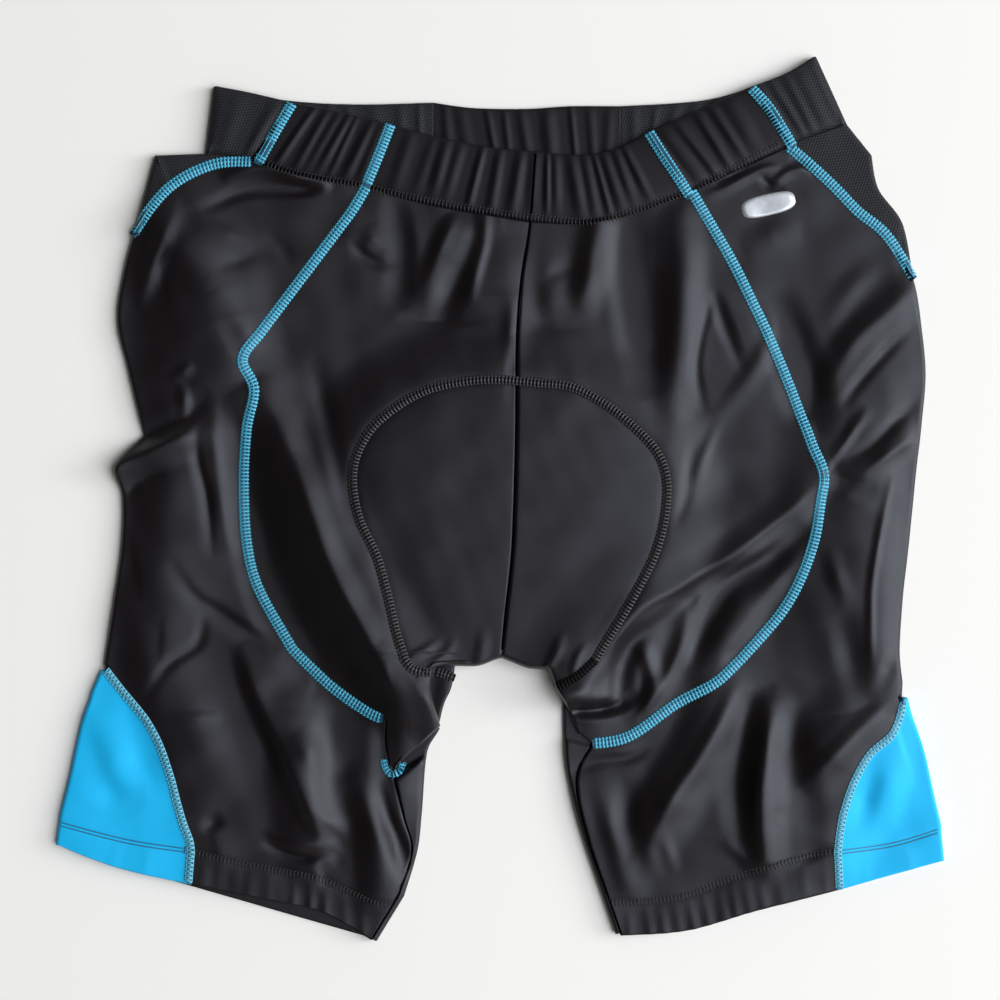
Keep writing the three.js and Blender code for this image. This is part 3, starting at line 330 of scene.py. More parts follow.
# Folds of one panel alone, where it lies over or under its neighbour, as picture points.
OWN_FOLDS = {
    "front_centre_left": [
        ([(380, 640), (408, 672), (428, 700), (434, 726), (424, 744)], [0, 2.5, 4, 4, 2], 8, 30, 0.1),
    ],
    "thigh_left": [([(392, 696), (388, 736), (388, 766), (392, 796)], [0, -2.5, -2.5, -1], 14, 12, 0)],
    "front_centre_right": [
        ([(612, 680), (602, 694), (586, 699), (562, 692)], [0, 1.2, 2, 1.6], 8, 10, 0),
        ([(636, 690), (622, 704), (602, 710), (570, 710)], [0, -2, -3, -3], 6, 5, 0),
    ],
    "back_left": [([(448, 668), (446, 690), (441, 715)], [0.4, 1.4, 0.6], 8, 8, 0)],
}

# Puckers of the turned hems, from the stitch line down, as picture points, with their rise.
HEM_PUCKERS = [
    ((646, 906), (650, 932), 1.0), ((660, 905), (664, 932), 1.2), ((674, 903), (679, 930), 0.9),
    ((688, 900), (694, 927), 1.2), ((702, 894), (708, 922), 1.1), ((719, 889), (724, 918), 1.0),
    ((730, 884), (736, 914), 1.2), ((743, 880), (749, 910), 0.9), ((757, 877), (763, 906), 1.1),
    ((776, 872), (781, 900), 0.7), ((800, 864), (804, 893), 0.8), ((822, 860), (825, 888), 0.6),
    ((628, 905), (630, 934), 0.7), ((206, 858), (204, 884), 0.7), ((222, 862), (220, 889), 1.0),
    ((238, 866), (235, 893), 0.8), ((252, 869), (250, 896), 0.9), ((270, 872), (268, 899), 0.6),
    ((296, 878), (294, 903), 0.8), ((312, 882), (311, 906), 1.1), ((326, 886), (326, 911), 1.0),
    ((344, 892), (346, 922), 0.7), ((362, 899), (364, 932), 0.8), ((120, 842), (114, 864), 0.5),
    ((150, 847), (146, 872), 0.6), ((862, 852), (866, 884), 0.5), ((905, 845), (912, 876), 0.5),
]

# The pad's stitch line, and below it the part of the outline that turns under at the crotch.
PAD_LINE = [
    (-53, -89), (-58, -73), (-62.5, -54), (-69, -32), (-78.5, -11.5), (-82.5, 7.5), (-81, 23.5),
    (-72.5, 39.5), (-58, 51.5), (-40.5, 61.5), (-20.5, 66), (-1, 67), (21, 65.5), (40, 63), (59, 53.5),
    (74.5, 41), (87.5, 27), (93, 11), (92, -10), (84, -32), (73, -55.5), (60, -78), (52, -92), (46, -104),
    (-46, -104),
]

# The waistband: upper edges of its stretches, in front and at the back.
BAND_TOPS = {
    "waist_mesh_left": [(-117, 223.5), (-140, 229), (-161.5, 233)],
    "waist_side_left": [(-117, 223.5), (-90.5, 218.5), (-62, 211.5)],
    "waist_front_left": [(-62, 211.5), (-34, 204), (-5.5, 198.5), (20.5, 196)],
    "waist_front_right": [(20.5, 196), (44, 194), (65, 197.5), (83.5, 207)],
    "waist_side_right": [(83.5, 207), (113, 219.5), (140, 232)],
    "waist_mesh_right": [(140, 232), (161, 240), (178, 250)],
}
BACK_BAND_TOPS = {
    "waist_mesh_left": [(-161.5, 233), (-141, 228.5), (-113, 224.5), (-79, 223), (-37.5, 224)],
    "waist_back": [(-37.5, 224), (-15, 221), (15, 220.5), (40, 222), (68, 222)],
    "waist_mesh_right": [(178, 250), (161, 240), (140, 232), (113, 225), (68, 222)],
}

# Gathers of the waistband: where each crest crosses the middle of the band, as x of a picture point, its
# rise and its half-width in millimetres.
FRONT_GATHERS = [
    (232, 0.7, 4), (262, 1.4, 3), (294, 1.3, 3.2), (310, 1.0, 2.8), (321, 0.7, 2.2), (332, 1.3, 2.8),
    (342, 0.9, 2.4), (358, 1.4, 3.2), (370, 1.0, 2.6), (402, 0.8, 5), (424, 0.6, 4), (439, 1.5, 3.4),
    (452, 1.1, 2.8), (475, 1.5, 3.4), (495, 1.2, 3), (516, 1.4, 3), (533, 0.7, 3), (547, 1.5, 2.8),
    (556, 1.1, 2.6), (577, 1.4, 3.4), (591, 1.0, 3), (603, 1.2, 3), (614, 1.4, 2.4), (626, 1.3, 3),
    (639, 1.4, 2.8), (671, 1.4, 3.2), (684, 1.2, 2.8), (698, 1.5, 3.2), (715, 1.4, 3), (730, 1.4, 3),
    (745, 1.2, 3), (776, 1.1, 2.8), (788, 1.2, 2.6), (800, 1.2, 2.8), (812, 1.0, 2.6),
]
BACK_GATHERS = [
    (300, 0.8, 3), (318, 0.7, 3), (338, 0.8, 3), (357, 0.8, 3), (380, 0.7, 3), (402, 0.8, 3),
    (420, 0.8, 2.6), (448, 0.7, 3), (466, 0.6, 3), (493, 0.9, 2.6), (508, 0.8, 2.4), (526, 0.9, 2.8),
    (550, 1.2, 3.4), (574, 0.9, 2.8), (592, 0.7, 2.6), (608, 0.6, 2.6), (634, 0.7, 2.6), (652, 0.8, 2.6),
    (668, 0.7, 2.4), (686, 0.8, 2.6), (704, 0.7, 2.6), (722, 0.7, 2.6), (742, 0.6, 2.6),
]

# Stitch lines that aren't on the line between two panels, as picture points.
PAD_STITCHES = [
    (406, 657), (397, 629), (389, 595), (378, 556), (361, 520), (354, 486), (357, 458), (372, 430),
    (397, 408), (428, 391), (464, 383), (498, 381), (537, 384), (571, 388), (604, 405), (632, 427),
    (655, 452), (665, 480), (663, 517), (652, 556), (630, 598), (607, 636), (593, 660),
]
LEFT_HEM_STITCHES = [
    (62, 823), (127, 840), (184, 849), (234, 861), (283, 871), (317, 877), (345, 889), (373, 901),
    (390, 903),
]
RIGHT_HEM_STITCHES = [
    (606, 901), (643, 901), (688, 894), (723, 880), (768, 865), (813, 853), (835, 850), (889, 844),
    (936, 830),
]


def spot(points):
    """Picture points in millimetres."""
    (x, y), p = PICTURE_MIDDLE, np.array(points, float)
    return np.stack([(p[..., 0] - x) * PICTURE_MM, (y - p[..., 1]) * PICTURE_MM], -1)


def curve(points, shares):
    """Places on a smooth curve through the points, at even shares of their count."""
    keys = np.array(points, float)
    last = len(keys) - 1
    at = np.clip(np.atleast_1d(np.asarray(shares, float)), 0, 1) * last
    i = np.minimum(np.floor(at + 1e-9).astype(int), last)
    w = (at - i)[:, None]
    before, start = keys[np.maximum(i - 1, 0)], keys[i]
    end, after = keys[np.minimum(i + 1, last)], keys[np.minimum(i + 2, last)]
    reach = MOST_SWING * np.linalg.norm(end - start, axis=-1, keepdims=True)
    v0, v1 = (v * np.minimum(1, reach / np.maximum(np.linalg.norm(v, axis=-1, keepdims=True), 1e-9))
              for v in ((end - before) / 2, (after - start) / 2))
    cubic, square = 2 * start - 2 * end + v0 + v1, 3 * end - 3 * start - 2 * v0 - v1
    return cubic * w**3 + square * w**2 + v0 * w + start


def evenly(points, step):
    """A smooth curve through the points as places an even step apart."""
    fine = curve(points, np.linspace(0, 1, 24 * len(points)))
    run = np.concatenate([[0], np.cumsum(np.hypot(*np.diff(fine, axis=0).T))])
    at = np.linspace(0, run[-1], max(2, round(run[-1] / step) + 1))
    return np.stack([np.interp(at, run, fine[:, k]) for k in range(fine.shape[1])], -1)


def centre_seam(y):
    """The point of the centre seam at a height."""
    heights = [p[1] for p in CENTRE_SEAM][::-1]
    return (float(np.interp(y, heights, [p[0] for p in CENTRE_SEAM][::-1])), y)


def nearest(line, x, y):
    """Distance of places to a line of points, their side (left is positive) and how far along it they lie."""
    best, side, along = np.full(x.shape, 1e9), np.zeros(x.shape), np.zeros(x.shape)
    for i in range(len(line) - 1):
        ax, ay = line[i]
        sx, sy = line[i + 1][0] - ax, line[i + 1][1] - ay
        fx, fy = x - ax, y - ay
        u = np.clip((fx * sx + fy * sy) / max(sx * sx + sy * sy, 1e-9), 0, 1)
        d = np.hypot(fx - u * sx, fy - u * sy)
        near = d < best
        best = np.where(near, d, best)
        side = np.where(near, np.sign(sx * fy - sy * fx), side)
        along = np.where(near, i + u, along)
    return best, side, along


def inside(outline, x, y):
    """Which places lie within an outline."""
    hit = np.zeros(x.shape, bool)
    for (ax, ay), (bx, by) in zip(outline, outline[1:] + outline[:1]):
        if ay == by:
            continue
        crossed = (ay > y) != (by > y)
        hit ^= crossed & (x < (bx - ax) * (y - ay) / (by - ay) + ax)
    return hit


class Relief:
    """Height of the cloth's upper face over the plan, on a square grid one millimetre apart."""

    REACH = 262
    FINE = 6                  # places on a fold's route for each of its points

    def __init__(self, height=0.0):
        axis = np.arange(-self.REACH, self.REACH + 1.0)
        self.x, self.y = np.meshgrid(axis, axis)
        self.z = np.full(self.x.shape, height)

    def box(self, line, margin):
        """The part of the grid that a line and its margin touch."""
        low = np.floor(line.min(0) - margin).astype(int) + self.REACH
        high = np.ceil(line.max(0) + margin).astype(int) + self.REACH + 1
        low, high = np.clip(low, 0, None), np.clip(high, None, 2 * self.REACH + 1)
        return slice(low[1], high[1]), slice(low[0], high[0])

    def fold(self, route, rise, left, right, crisp=0.0):
        """Adds one fold. Its half-widths are those on the left and right of the route."""
        line = curve(route, np.linspace(0, 1, self.FINE * (len(route) - 1) + 1))
        part = self.box(line, max(left, right))
        d, side, along = nearest(line, self.x[part], self.y[part])
        t = np.clip(d / np.where(side > 0, left, right), 0, 1)
        soft = 0.5 + 0.5 * np.cos(np.pi * t)
        height = np.interp(along / self.FINE, np.arange(len(rise)), rise)
        self.z[part] += height * (soft + ((1 - t) ** 2 - soft) * crisp)

    def pad(self, outline):
        """Lifts the cloth over the pad, with a skirt round it."""
        ring = outline + outline[:1]
        d, _, _ = nearest(ring, self.x, self.y)
        within = inside(outline, self.x, self.y)
        dome = PAD_LIP + (PAD_RISE - PAD_LIP) * (1 - (1 - np.clip(d / PAD_SLOPE, 0, 1)) ** 2)
        skirt = 1 - np.clip(d / PAD_SKIRT, 0, 1)
        self.z += np.where(within, dome, PAD_LIP * skirt * skirt * (3 - 2 * skirt))

    def soften(self, width):
        """Evens out what is finer than a few millimetres."""
        reach = np.arange(-3, 4)
        weight = np.exp(-0.5 * (reach / width) ** 2)
        weight /= weight.sum()
        for axis in (0, 1):
            padded = np.pad(self.z, [(3, 3) if a == axis else (0, 0) for a in (0, 1)], mode="edge")
            places = np.arange(self.z.shape[axis])
            self.z = sum(w * np.take(padded, places + k, axis) for k, w in enumerate(weight))

    def at(self, x, y):
        """Heights at places in the plan."""
        fx, fy = (np.clip(axis + self.REACH, 0, 2 * self.REACH - 1.001) for axis in (x, y))
        i, j = fx.astype(int), fy.astype(int)
        u, v = fx - i, fy - j
        z = self.z
        return (z[j, i] * (1 - u) * (1 - v) + z[j, i + 1] * u * (1 - v)
                + z[j + 1, i] * (1 - u) * v + z[j + 1, i + 1] * u * v)


# Grooves that the seams press into the cloth: line, depth and half-width.
GROOVES = [
    (spot(LEFT_HEM_STITCHES), 0.7, 2.5),
    (spot(RIGHT_HEM_STITCHES), 0.7, 2.5),
    (spot(PAD_STITCHES), 0.8, 4),
    ([p for p in CENTRE_SEAM if p[1] < 160], 0.35, 1.3),
]
relief = Relief(float(LAYERS))
for form in FORMS:
    relief.fold(*form)
relief.pad(PAD_LINE)
for route, *shape in FOLDS:
    relief.fold(spot(route), *shape)
for *line, rise in HEM_PUCKERS:
    relief.fold(spot(line), [0.2 * rise, rise], 3.2, 3.2, 0.3)
for line, depth, half in GROOVES:
    relief.fold(line, [-depth] * len(line), half, half, 0.3)
from_pad = np.hypot((relief.x - CALM_MIDDLE[0]) / CALM_REACH[0], (relief.y - CALM_MIDDLE[1]) / CALM_REACH[1])
calm = np.clip((from_pad - 0.85) / 0.3, CALM_LEAST, 1)
for k, (length, heading) in enumerate(RIPPLES):
    bent = 6 * np.sin(relief.x / 47 + 2.1 * k) + 6 * np.sin(relief.y / 39 + 1.3 * k)
    along = (relief.x + bent) * math.cos(heading) + (relief.y + bent) * math.sin(heading)
    patchy = 0.5 + 0.5 * np.sin(relief.x / 31 + 1.7 * k) * np.sin(relief.y / 37 + 0.6 * k)
    relief.z += RIPPLE_RISE * length * calm * patchy * np.sin(along * 2 * math.pi / length + k)
relief.soften(0.9)
relief.z = (relief.z + LOWEST + np.sqrt((relief.z - LOWEST) ** 2 + LEVELLING)) / 2

own_relief = {owner: Relief() for owner in OWN_FOLDS}
for owner, folds in OWN_FOLDS.items():
    for route, *shape in folds:
        own_relief[owner].fold(spot(route), *shape)


# Panel lines.
class Half:
    """One half of the shorts: its table of rows, as smooth columns that are read at any row."""

    def __init__(self, rows, bends):
        self.rows = [dict(zip(ROW_NAMES, row)) for row in rows]
        self.bends = bends
        self.last = len(rows) - 1
        self.steps = [self.count(k) for k in range(self.last)]

    def point(self, k, name):
        value = self.rows[k][name]
        return np.array(value if isinstance(value, tuple) else centre_seam(value), float)

    def has(self, k, name):
        return self.rows[k][name] is not None

    def count(self, k):
        """How many rows of cloth points lie between two table rows."""
        gaps = [np.hypot(*(self.point(k + 1, n) - self.point(k, n))) for n in ROW_NAMES[:-1]
                if self.has(k, n) and self.has(k + 1, n)]
        return max(2, math.ceil(max(gaps) / GRAIN))

    def places(self, first, last):
        """Row numbers with their fractions, from one table row to another."""
        out = [k + s / self.steps[k] for k in range(first, last) for s in range(self.steps[k])]
        return np.array(out + [float(last)])

    def column(self, name, first, last):
        """The points of a column at all places, smooth but for its corners."""
        out, start = [self.point(first, name)[None]], first
        for i in range(first + 1, last + 1):
            if i < last and name not in self.rows[i]["turn"].split():
                continue
            keys = [self.point(k, name) for k in range(start, i + 1)]
            shares = (self.places(start, i)[1:] - start) / (i - start)
            out.append(curve(keys, shares))
            start = i
        return np.concatenate(out)

    def bend(self, start, end, places, u):
        """How far the rows bend away from straight, for each row and share of the way."""
        off = np.zeros((len(places), len(u), 2))
        for row, a, b, by in self.bends:
            if {a, b} != {start, end}:
                continue
            way = u if (a, b) == (start, end) else 1 - u
            ends = [self.point(row, a), self.point(row, b)]
            curved = curve([ends[0], *by, ends[1]], way)
            straight = ends[0] + (ends[1] - ends[0]) * way[:, None]
            share = np.clip(1 - np.abs(places - row), 0, 1)
            off += share[:, None, None] * (curved - straight)[None]
        return off


left = Half(LEFT_ROWS, LEFT_BENDS)
right = Half(RIGHT_ROWS, RIGHT_BENDS)
HALVES = {"left": left, "right": right}


def outward(line, within):
    """For each point of an outline, the direction in plan away from the point within."""
    step = np.gradient(line, axis=0)
    normal = np.stack([step[:, 1], -step[:, 0]], -1)
    normal /= np.maximum(np.hypot(*normal.T), 1e-9)[:, None]
    if np.sign(((within - line) * normal).sum(1)).sum() > 0:
        normal *= -1
    near = np.pad(normal, ((2, 2), (0, 0)), mode="edge")
    normal = sum(near[k:k + len(normal)] for k in range(5))
    return normal / np.maximum(np.hypot(*normal.T), 1e-9)[:, None]


def grid(name, rows, across):
    """A flat grid of points, to be moved to their places."""
    bpy.ops.mesh.primitive_grid_add(x_subdivisions=across - 1, y_subdivisions=rows - 1, size=1)
    piece = bpy.context.object
    piece.name = piece.data.name = name
    return piece


def read_points(piece):
    """The points of a piece, as it was made."""
    co = np.empty(3 * len(piece.data.vertices))
    piece.data.vertices.foreach_get("co", co)
    return co.reshape(-1, 3)


def place(piece, points):
    """Moves all points of a piece to places in the tables' millimetres."""
    placed = (points + np.array([*SHIFT, 0])) * MM
    piece.data.vertices.foreach_set("co", np.ascontiguousarray(placed.reshape(-1, 3)).ravel())
    piece.data.update()


def dress(piece, look):
    """Smooth shading and a look."""
    bpy.ops.object.shade_smooth()
    piece.data.materials.append(look)
    piece.select_set(False)
    return piece


def thicken(piece, wall, **settings):
    """Gives a sheet its wall, on the inner side."""
    shell = piece.modifiers.new("wall", "SOLIDIFY")
    shell.thickness, shell.offset = wall * MM, -1
    for label, value in settings.items():
        setattr(shell, label, value)
    bpy.ops.object.modifier_apply(modifier="wall")


def cloth(name, points, look, outer, wall=CLOTH, absent=None):
    """A sheet of cloth: a flat grid whose points are moved to their places, then given its wall. outer is a
    place in the grid and the direction that its outer side shows there. Absent faces are cut away."""
    (r, c), direction = outer
    facing = np.cross(points[r, c + 1] - points[r, c], points[r + 1, c] - points[r, c])
    if np.dot(facing, direction) < 0:
        points = points[:, ::-1]
        absent = None if absent is None else absent[:, ::-1]
    piece = grid(name, *points.shape[:2])
    place(piece, points)
    if absent is not None and absent.any():
        cut_faces(piece, absent.ravel())
    bpy.ops.object.shade_smooth()
    thicken(piece, wall, use_even_offset=False)
    for v in piece.data.vertices:
        v.co.z = max(v.co.z, 0)
    return dress(piece, look)


def cut_faces(piece, chosen):
    """Deletes the chosen faces in edit mode, and the points that they leave loose."""
    bpy.context.tool_settings.mesh_select_mode = (False, False, True)
    bpy.ops.object.mode_set(mode="EDIT")
    bpy.ops.mesh.select_all(action="DESELECT")
    bpy.ops.object.mode_set(mode="OBJECT")
    piece.data.polygons.foreach_set("select", chosen)
    bpy.ops.object.mode_set(mode="EDIT")
    bpy.ops.mesh.delete(type="FACE")
    bpy.ops.mesh.select_all(action="SELECT")
    bpy.ops.mesh.delete_loose()
    bpy.ops.object.mode_set(mode="OBJECT")


def lay(plan, on, own=None, most=None):
    """Plan points with the cloth's height: over the relief, or under it on the surface."""
    height = relief.at(plan[..., 0], plan[..., 1]) if on == "upper" else np.zeros(plan.shape[:-1])
    if own:
        height = np.maximum(height + own.at(plan[..., 0], plan[..., 1]), OWN_LOWEST if on == "upper" else 0)
    if most is not None:
        height = np.minimum(height, most)
    return np.concatenate([plan, height[..., None]], -1)


def turned_edge(half, layer, own, rows, line, out, turn):
    """What a panel has beyond its outline: the roll, then the way to a third column or the part tucked
    under. Also gives the line on which the roll begins."""
    over, far_name, tucked = turn
    folded = np.clip(rows - over[1], 0, 1)[:, None]
    steps = np.array([over[1], over[1] + 1, tucked - 1.2, tucked - 0.8])
    base = np.interp(rows, steps, TUCK_BASES) if tucked > over[1] else np.zeros(len(rows))
    probe = line - out * (LAYERS / 2)
    top, most = relief.at(*probe.T), None
    if layer == "under":
        most = np.interp(rows, [over[0], over[0] + 1.1, over[0] + 1.7], INSEAM_TOPS)
        top = np.minimum(top, most)
    elif own:
        top = np.maximum(top + own.at(*probe.T), base + OWN_TURN)
    radius = (top - base) / 2
    reach = np.minimum(radius, EDGE_REACH - folded[:, 0])
    middle = line - out * reach[:, None]
    reached = half.column(far_name, *over)
    reached = np.pad(reached, ((0, len(line) - len(reached)), (0, 0)), mode="edge")
    far = reached * (1 - folded) + (middle - out * TUCK) * folded
    angles = ROLL if layer == "upper" else -ROLL
    plan = middle[:, None] + out[:, None] * (reach[:, None] * np.cos(angles))[..., None]
    edge = np.concatenate([plan, (base[:, None] + radius[:, None] * (1 + np.sin(angles)))[..., None]], -1)
    v = np.linspace(0, 1, max(2, math.ceil(np.hypot(*(far - middle).T).max() / (2 * GRAIN)) + 1))
    beyond = lay(middle[:, None] + (far - middle)[:, None] * v[None, :, None],
                 "under" if layer == "upper" else "upper", most=None if most is None else most[:, None])
    beyond[..., 2] += base[:, None]
    return middle, np.concatenate([edge, beyond], 1)


def panel(name, side, layer, start, end, rows, look, turn):
    """A panel of one half, from one column to another. It passes round the outline over the first rows that
    turn names, on to a third column, and from there to a last row its edge is only tucked under."""
    half, own = HALVES[side], own_relief.get(name)
    places = half.places(*rows)
    a, b = half.column(start, *rows), half.column(end, *rows)
    u = np.linspace(0, 1, max(3, math.ceil(np.hypot(*(b - a).T).max() / GRAIN) + 1))
    (first, _), _, tucked = turn
    turning = (places >= first - 1e-9) & (places <= tucked + 1e-9)
    out = outward(b[turning], a[turning] * 0.2 + b[turning] * 0.8)
    if end == "centre":
        out[0] = (0, -1)
    tip = b.copy()
    tip[turning], extra = turned_edge(half, layer, own, places[turning], b[turning], out, turn)
    inset = tip[turning] - b[turning]
    for near_rows, share in ((places < first, (first > 1) * np.clip(1 - first + places, 0, 1)),
                             (places > tucked, np.clip(1 + tucked - places, 0, 1))):
        tip[near_rows] += (inset[0] if near_rows[0] else inset[-1]) * share[near_rows, None]
    plan = a[:, None] + (tip - a)[:, None] * u[None, :, None] + half.bend(start, end, places, u)
    main = lay(plan, layer, own)
    outer = ((len(places) // 2, len(u) // 2), (0, 0, 1 if layer == "upper" else -1))
    whole = np.repeat(main[:, -1:], extra.shape[1], 1)
    whole[turning] = extra
    absent = np.zeros((len(places) - 1, len(u) + extra.shape[1] - 1), bool)
    absent[:, len(u) - 1:] = ~(turning[:-1] & turning[1:])[:, None]
    return cloth(f"{name}_cloth", np.concatenate([main, whole], 1), look, outer, absent=absent)


def half_panels(side):
    """The five panels of one half: layer, columns from and to, table rows, look, and where it turns."""
    hip, thigh, gusset, inseam, crotch, flap = SPANS[side].values()
    last = HALVES[side].last
    table = {
        "front_centre": ("upper", "leg", "centre", (0, flap), jersey, (crotch, "spine", flap)),
        "thigh": ("upper", "leg", "edge", (0, last), jersey, (thigh, "back", thigh[1])),
        "hip_mesh": ("upper", "edge", "rim", (0, hip[1]), knit_mesh, (hip, "back", hip[1])),
        "gusset": ("upper", "edge", "rim", gusset, blue_jersey, (gusset, "back", gusset[1])),
        "back": ("under", "back", "spine", (1, last), jersey, (inseam, "leg", inseam[1])),
    }
    return {f"{name}_{side}": panel(f"{name}_{side}", side, *row) for name, row in table.items()}


# The waistband.
def gathers(line_x, table, v):
    """Rise of the gathers at places along the band, x by x, for each share of the way down to its seam."""
    rise = np.zeros((len(v), len(line_x)))
    for k, (px, high, half) in enumerate(table):
        # Each crest leans, widens and fades in its own way.
        x = (px - PICTURE_MIDDLE[0]) * PICTURE_MM
        lean = 1.3 * math.sin(2.4 * k)
        reach = half * (1.75 + 0.5 * math.sin(1.7 * k + 1))
        d = np.abs(line_x[None] - x - lean * (v[:, None] - 0.5)) / reach
        fade = np.interp(v, [0, 0.15, 0.55, 0.86, 1], [0.35, 0.8, 1, 0.55 + 0.3 * math.sin(k), 0.1])
        crest = (0.5 + 0.5 * np.cos(np.pi * d)) ** (1.6 + 0.6 * math.sin(3.1 * k))
        rise += high * fade[:, None] * np.where(d < 1, crest, 0)
    return rise


def casing(name, points, normals, walls, look):
    """A length of waistband: its outer side, the turn over its upper edge and its inner side, as one cloth.
    Rows run from the upper edge down to the seam."""
    half = walls[0] / 2
    up = points[0] - points[3]
    up[:, 2] = 0
    up /= np.linalg.norm(up, axis=-1)[:, None]
    heart = points[0] - normals[0] * half[:, None] - up * half[:, None]
    turn = [heart + normals[0] * (half * math.cos(a))[:, None] + up * (half * math.sin(a))[:, None]
            for a in np.radians([30, 60, 90, 120, 150])]
    share = np.linspace(0, 1, len(points))[:, None, None]
    drop = (1 - share) ** 3 * half[None, :, None] * up[None]
    lining = points - normals * walls[..., None] - drop
    sheet = np.concatenate([(points - drop)[::-1], np.array(turn), lining])
    middle = len(points) // 2
    outer = ((middle, 4), normals[len(points) - 1 - middle, 4])
    return cloth(f"{name}_cloth", sheet, look, outer, wall=BAND_CLOTH)


def band_plan(tops, low, shift=None):
    """Plan points of a stretch of band, row by row, between its upper edge and the line below."""
    count = max(8, math.ceil(np.hypot(*np.diff(low, axis=0).T).sum() / BAND_GRAIN))
    u, v = np.linspace(0, 1, count), np.linspace(0, 1, BAND_ROWS)
    run = np.linspace(0, 1, len(low))
    lower = np.stack([np.interp(u, run, low[:, k]) for k in (0, 1)], -1)
    upper = curve(tops, u)
    plan = upper[None] + (lower - upper)[None] * v[:, None, None]
    return (plan if shift is None else shift(plan, u)), v


def front_rows(plan, v):
    """Heights and wall of the band in front, with its gathers."""
    bulge = 0.9 * np.sin(np.pi * np.clip(v * 1.05, 0, 1)) ** 0.7 - 1.1 * np.clip((v - 0.86) / 0.14, 0, 1) ** 2
    rise = gathers(plan[len(v) // 2, :, 0], FRONT_GATHERS, v)
    return BAND_LAYERS + bulge[:, None] + rise, BAND_WALL + bulge[:, None] + rise


def back_rows(plan, v):
    """The same for the back, which lies on the surface."""
    return np.zeros(plan.shape[:2]), BAND_WALL + gathers(plan[len(v) // 2, :, 0], BACK_GATHERS, v)


def level(plan, z):
    """Plan points with their heights."""
    return np.concatenate([plan, z[..., None]], -1)


def short_band(name, low, tops=BAND_TOPS, rows=front_rows, facing=1):
    """A length of band that stays on one side."""
    plan, v = band_plan(tops[name], low)
    z, walls = rows(plan, v)
    points = level(plan, z)
    return casing(name, points, np.broadcast_to([0.0, 0.0, facing], points.shape), walls, band_jersey)


def end_band(name, front_low, back_low):
    """A mesh length of band: in front from the hip seam to the band's end, round it, and along the back."""
    radius = BAND_LAYERS / 2
    top, low = np.array(BAND_TOPS[name][-1], float), front_low[-1]
    out = outward(np.array([top, low]), np.array([BAND_TOPS[name][0]] * 2, float))[0]
    front, v = band_plan(BAND_TOPS[name], front_low, lambda p, u: p - out * radius * (u ** 6)[None, :, None])
    back, _ = band_plan(BACK_BAND_TOPS[name], back_low,
                        lambda p, u: p - out * radius * ((1 - u) ** 6)[None, :, None])
    (z, front_wall), (back_z, back_wall) = front_rows(front, v), back_rows(back, v)
    middle = top + (low - top) * v[:, None] - out * radius
    roll_plan = middle[:, None] + out * (radius * np.cos(ROLL))[None, :, None]
    roll_z = np.broadcast_to(radius * (1 + np.sin(ROLL)), roll_plan.shape[:2])
    turn = front.shape[1]
    fade = np.interp(np.arange(turn), [0, turn - 6, turn - 1], [1, 1, 0])
    z = BAND_LAYERS + (z - BAND_LAYERS) * fade
    points = np.concatenate([level(front, z), level(roll_plan, roll_z), level(back, back_z)], 1)
    normals = np.zeros_like(points)
    normals[:, :turn, 2] = 1
    normals[:, turn:turn + len(ROLL), :2] = out[None, None] * np.cos(ROLL)[None, :, None]
    normals[:, turn:turn + len(ROLL), 2] = np.sin(ROLL)
    normals[:, turn + len(ROLL):, 2] = -1
    walls = np.concatenate([
        BAND_WALL + (front_wall - BAND_WALL) * fade, np.full(roll_z.shape, BAND_WALL), back_wall,
    ], 1)
    return casing(name, points, normals, walls, knit_mesh)


def even(p, q, count=40):
    """Places at even steps from one point to another."""
    return np.array(p, float) + (np.array(q, float) - np.array(p, float)) * np.linspace(0, 1, count)[:, None]


def top_line(half, start, end):
    """The plan points of a panel's first row, which the waistband is sewn to."""
    u = np.linspace(0, 1, 60)
    a, b = half.point(0, start), half.point(0, end)
    return a + (b - a) * u[:, None] + half.bend(start, end, np.array([0.0]), u)[0]


def waistband():
    back_left, back_right, spine = left.point(1, "back"), right.point(1, "back"), left.point(1, "spine")
    left_end, right_end = left.column("rim", 0, 1), right.column("rim", 0, 1)
    back_low = np.concatenate([even(back_left, spine), even(spine, back_right)[1:]])
    fronts = {
        "waist_front_left": top_line(left, "leg", "centre"),
        "waist_front_right": top_line(right, "leg", "centre")[::-1],
        "waist_side_left": top_line(left, "leg", "edge")[::-1],
        "waist_side_right": top_line(right, "leg", "edge"),
    }
    return {
        **{name: short_band(name, low) for name, low in fronts.items()},
        "waist_mesh_left": end_band("waist_mesh_left", left_end, even(left_end[-1], back_left)),
        "waist_mesh_right": end_band("waist_mesh_right", right_end, even(right_end[-1], back_right)),
        "waist_back": short_band("waist_back", back_low, BACK_BAND_TOPS, back_rows, -1),
    }


# Sewn lines.
def tops_of(pieces):
    """What a falling thread would land on: the pieces' faces, in metres."""
    points, faces = [], []
    for piece in pieces:
        mesh = piece.data
        base = len(points)
        points.extend(v.co.copy() for v in mesh.vertices)
        faces.extend(tuple(base + i for i in p.vertices) for p in mesh.polygons)
    return BVHTree.FromPolygons(points, faces)


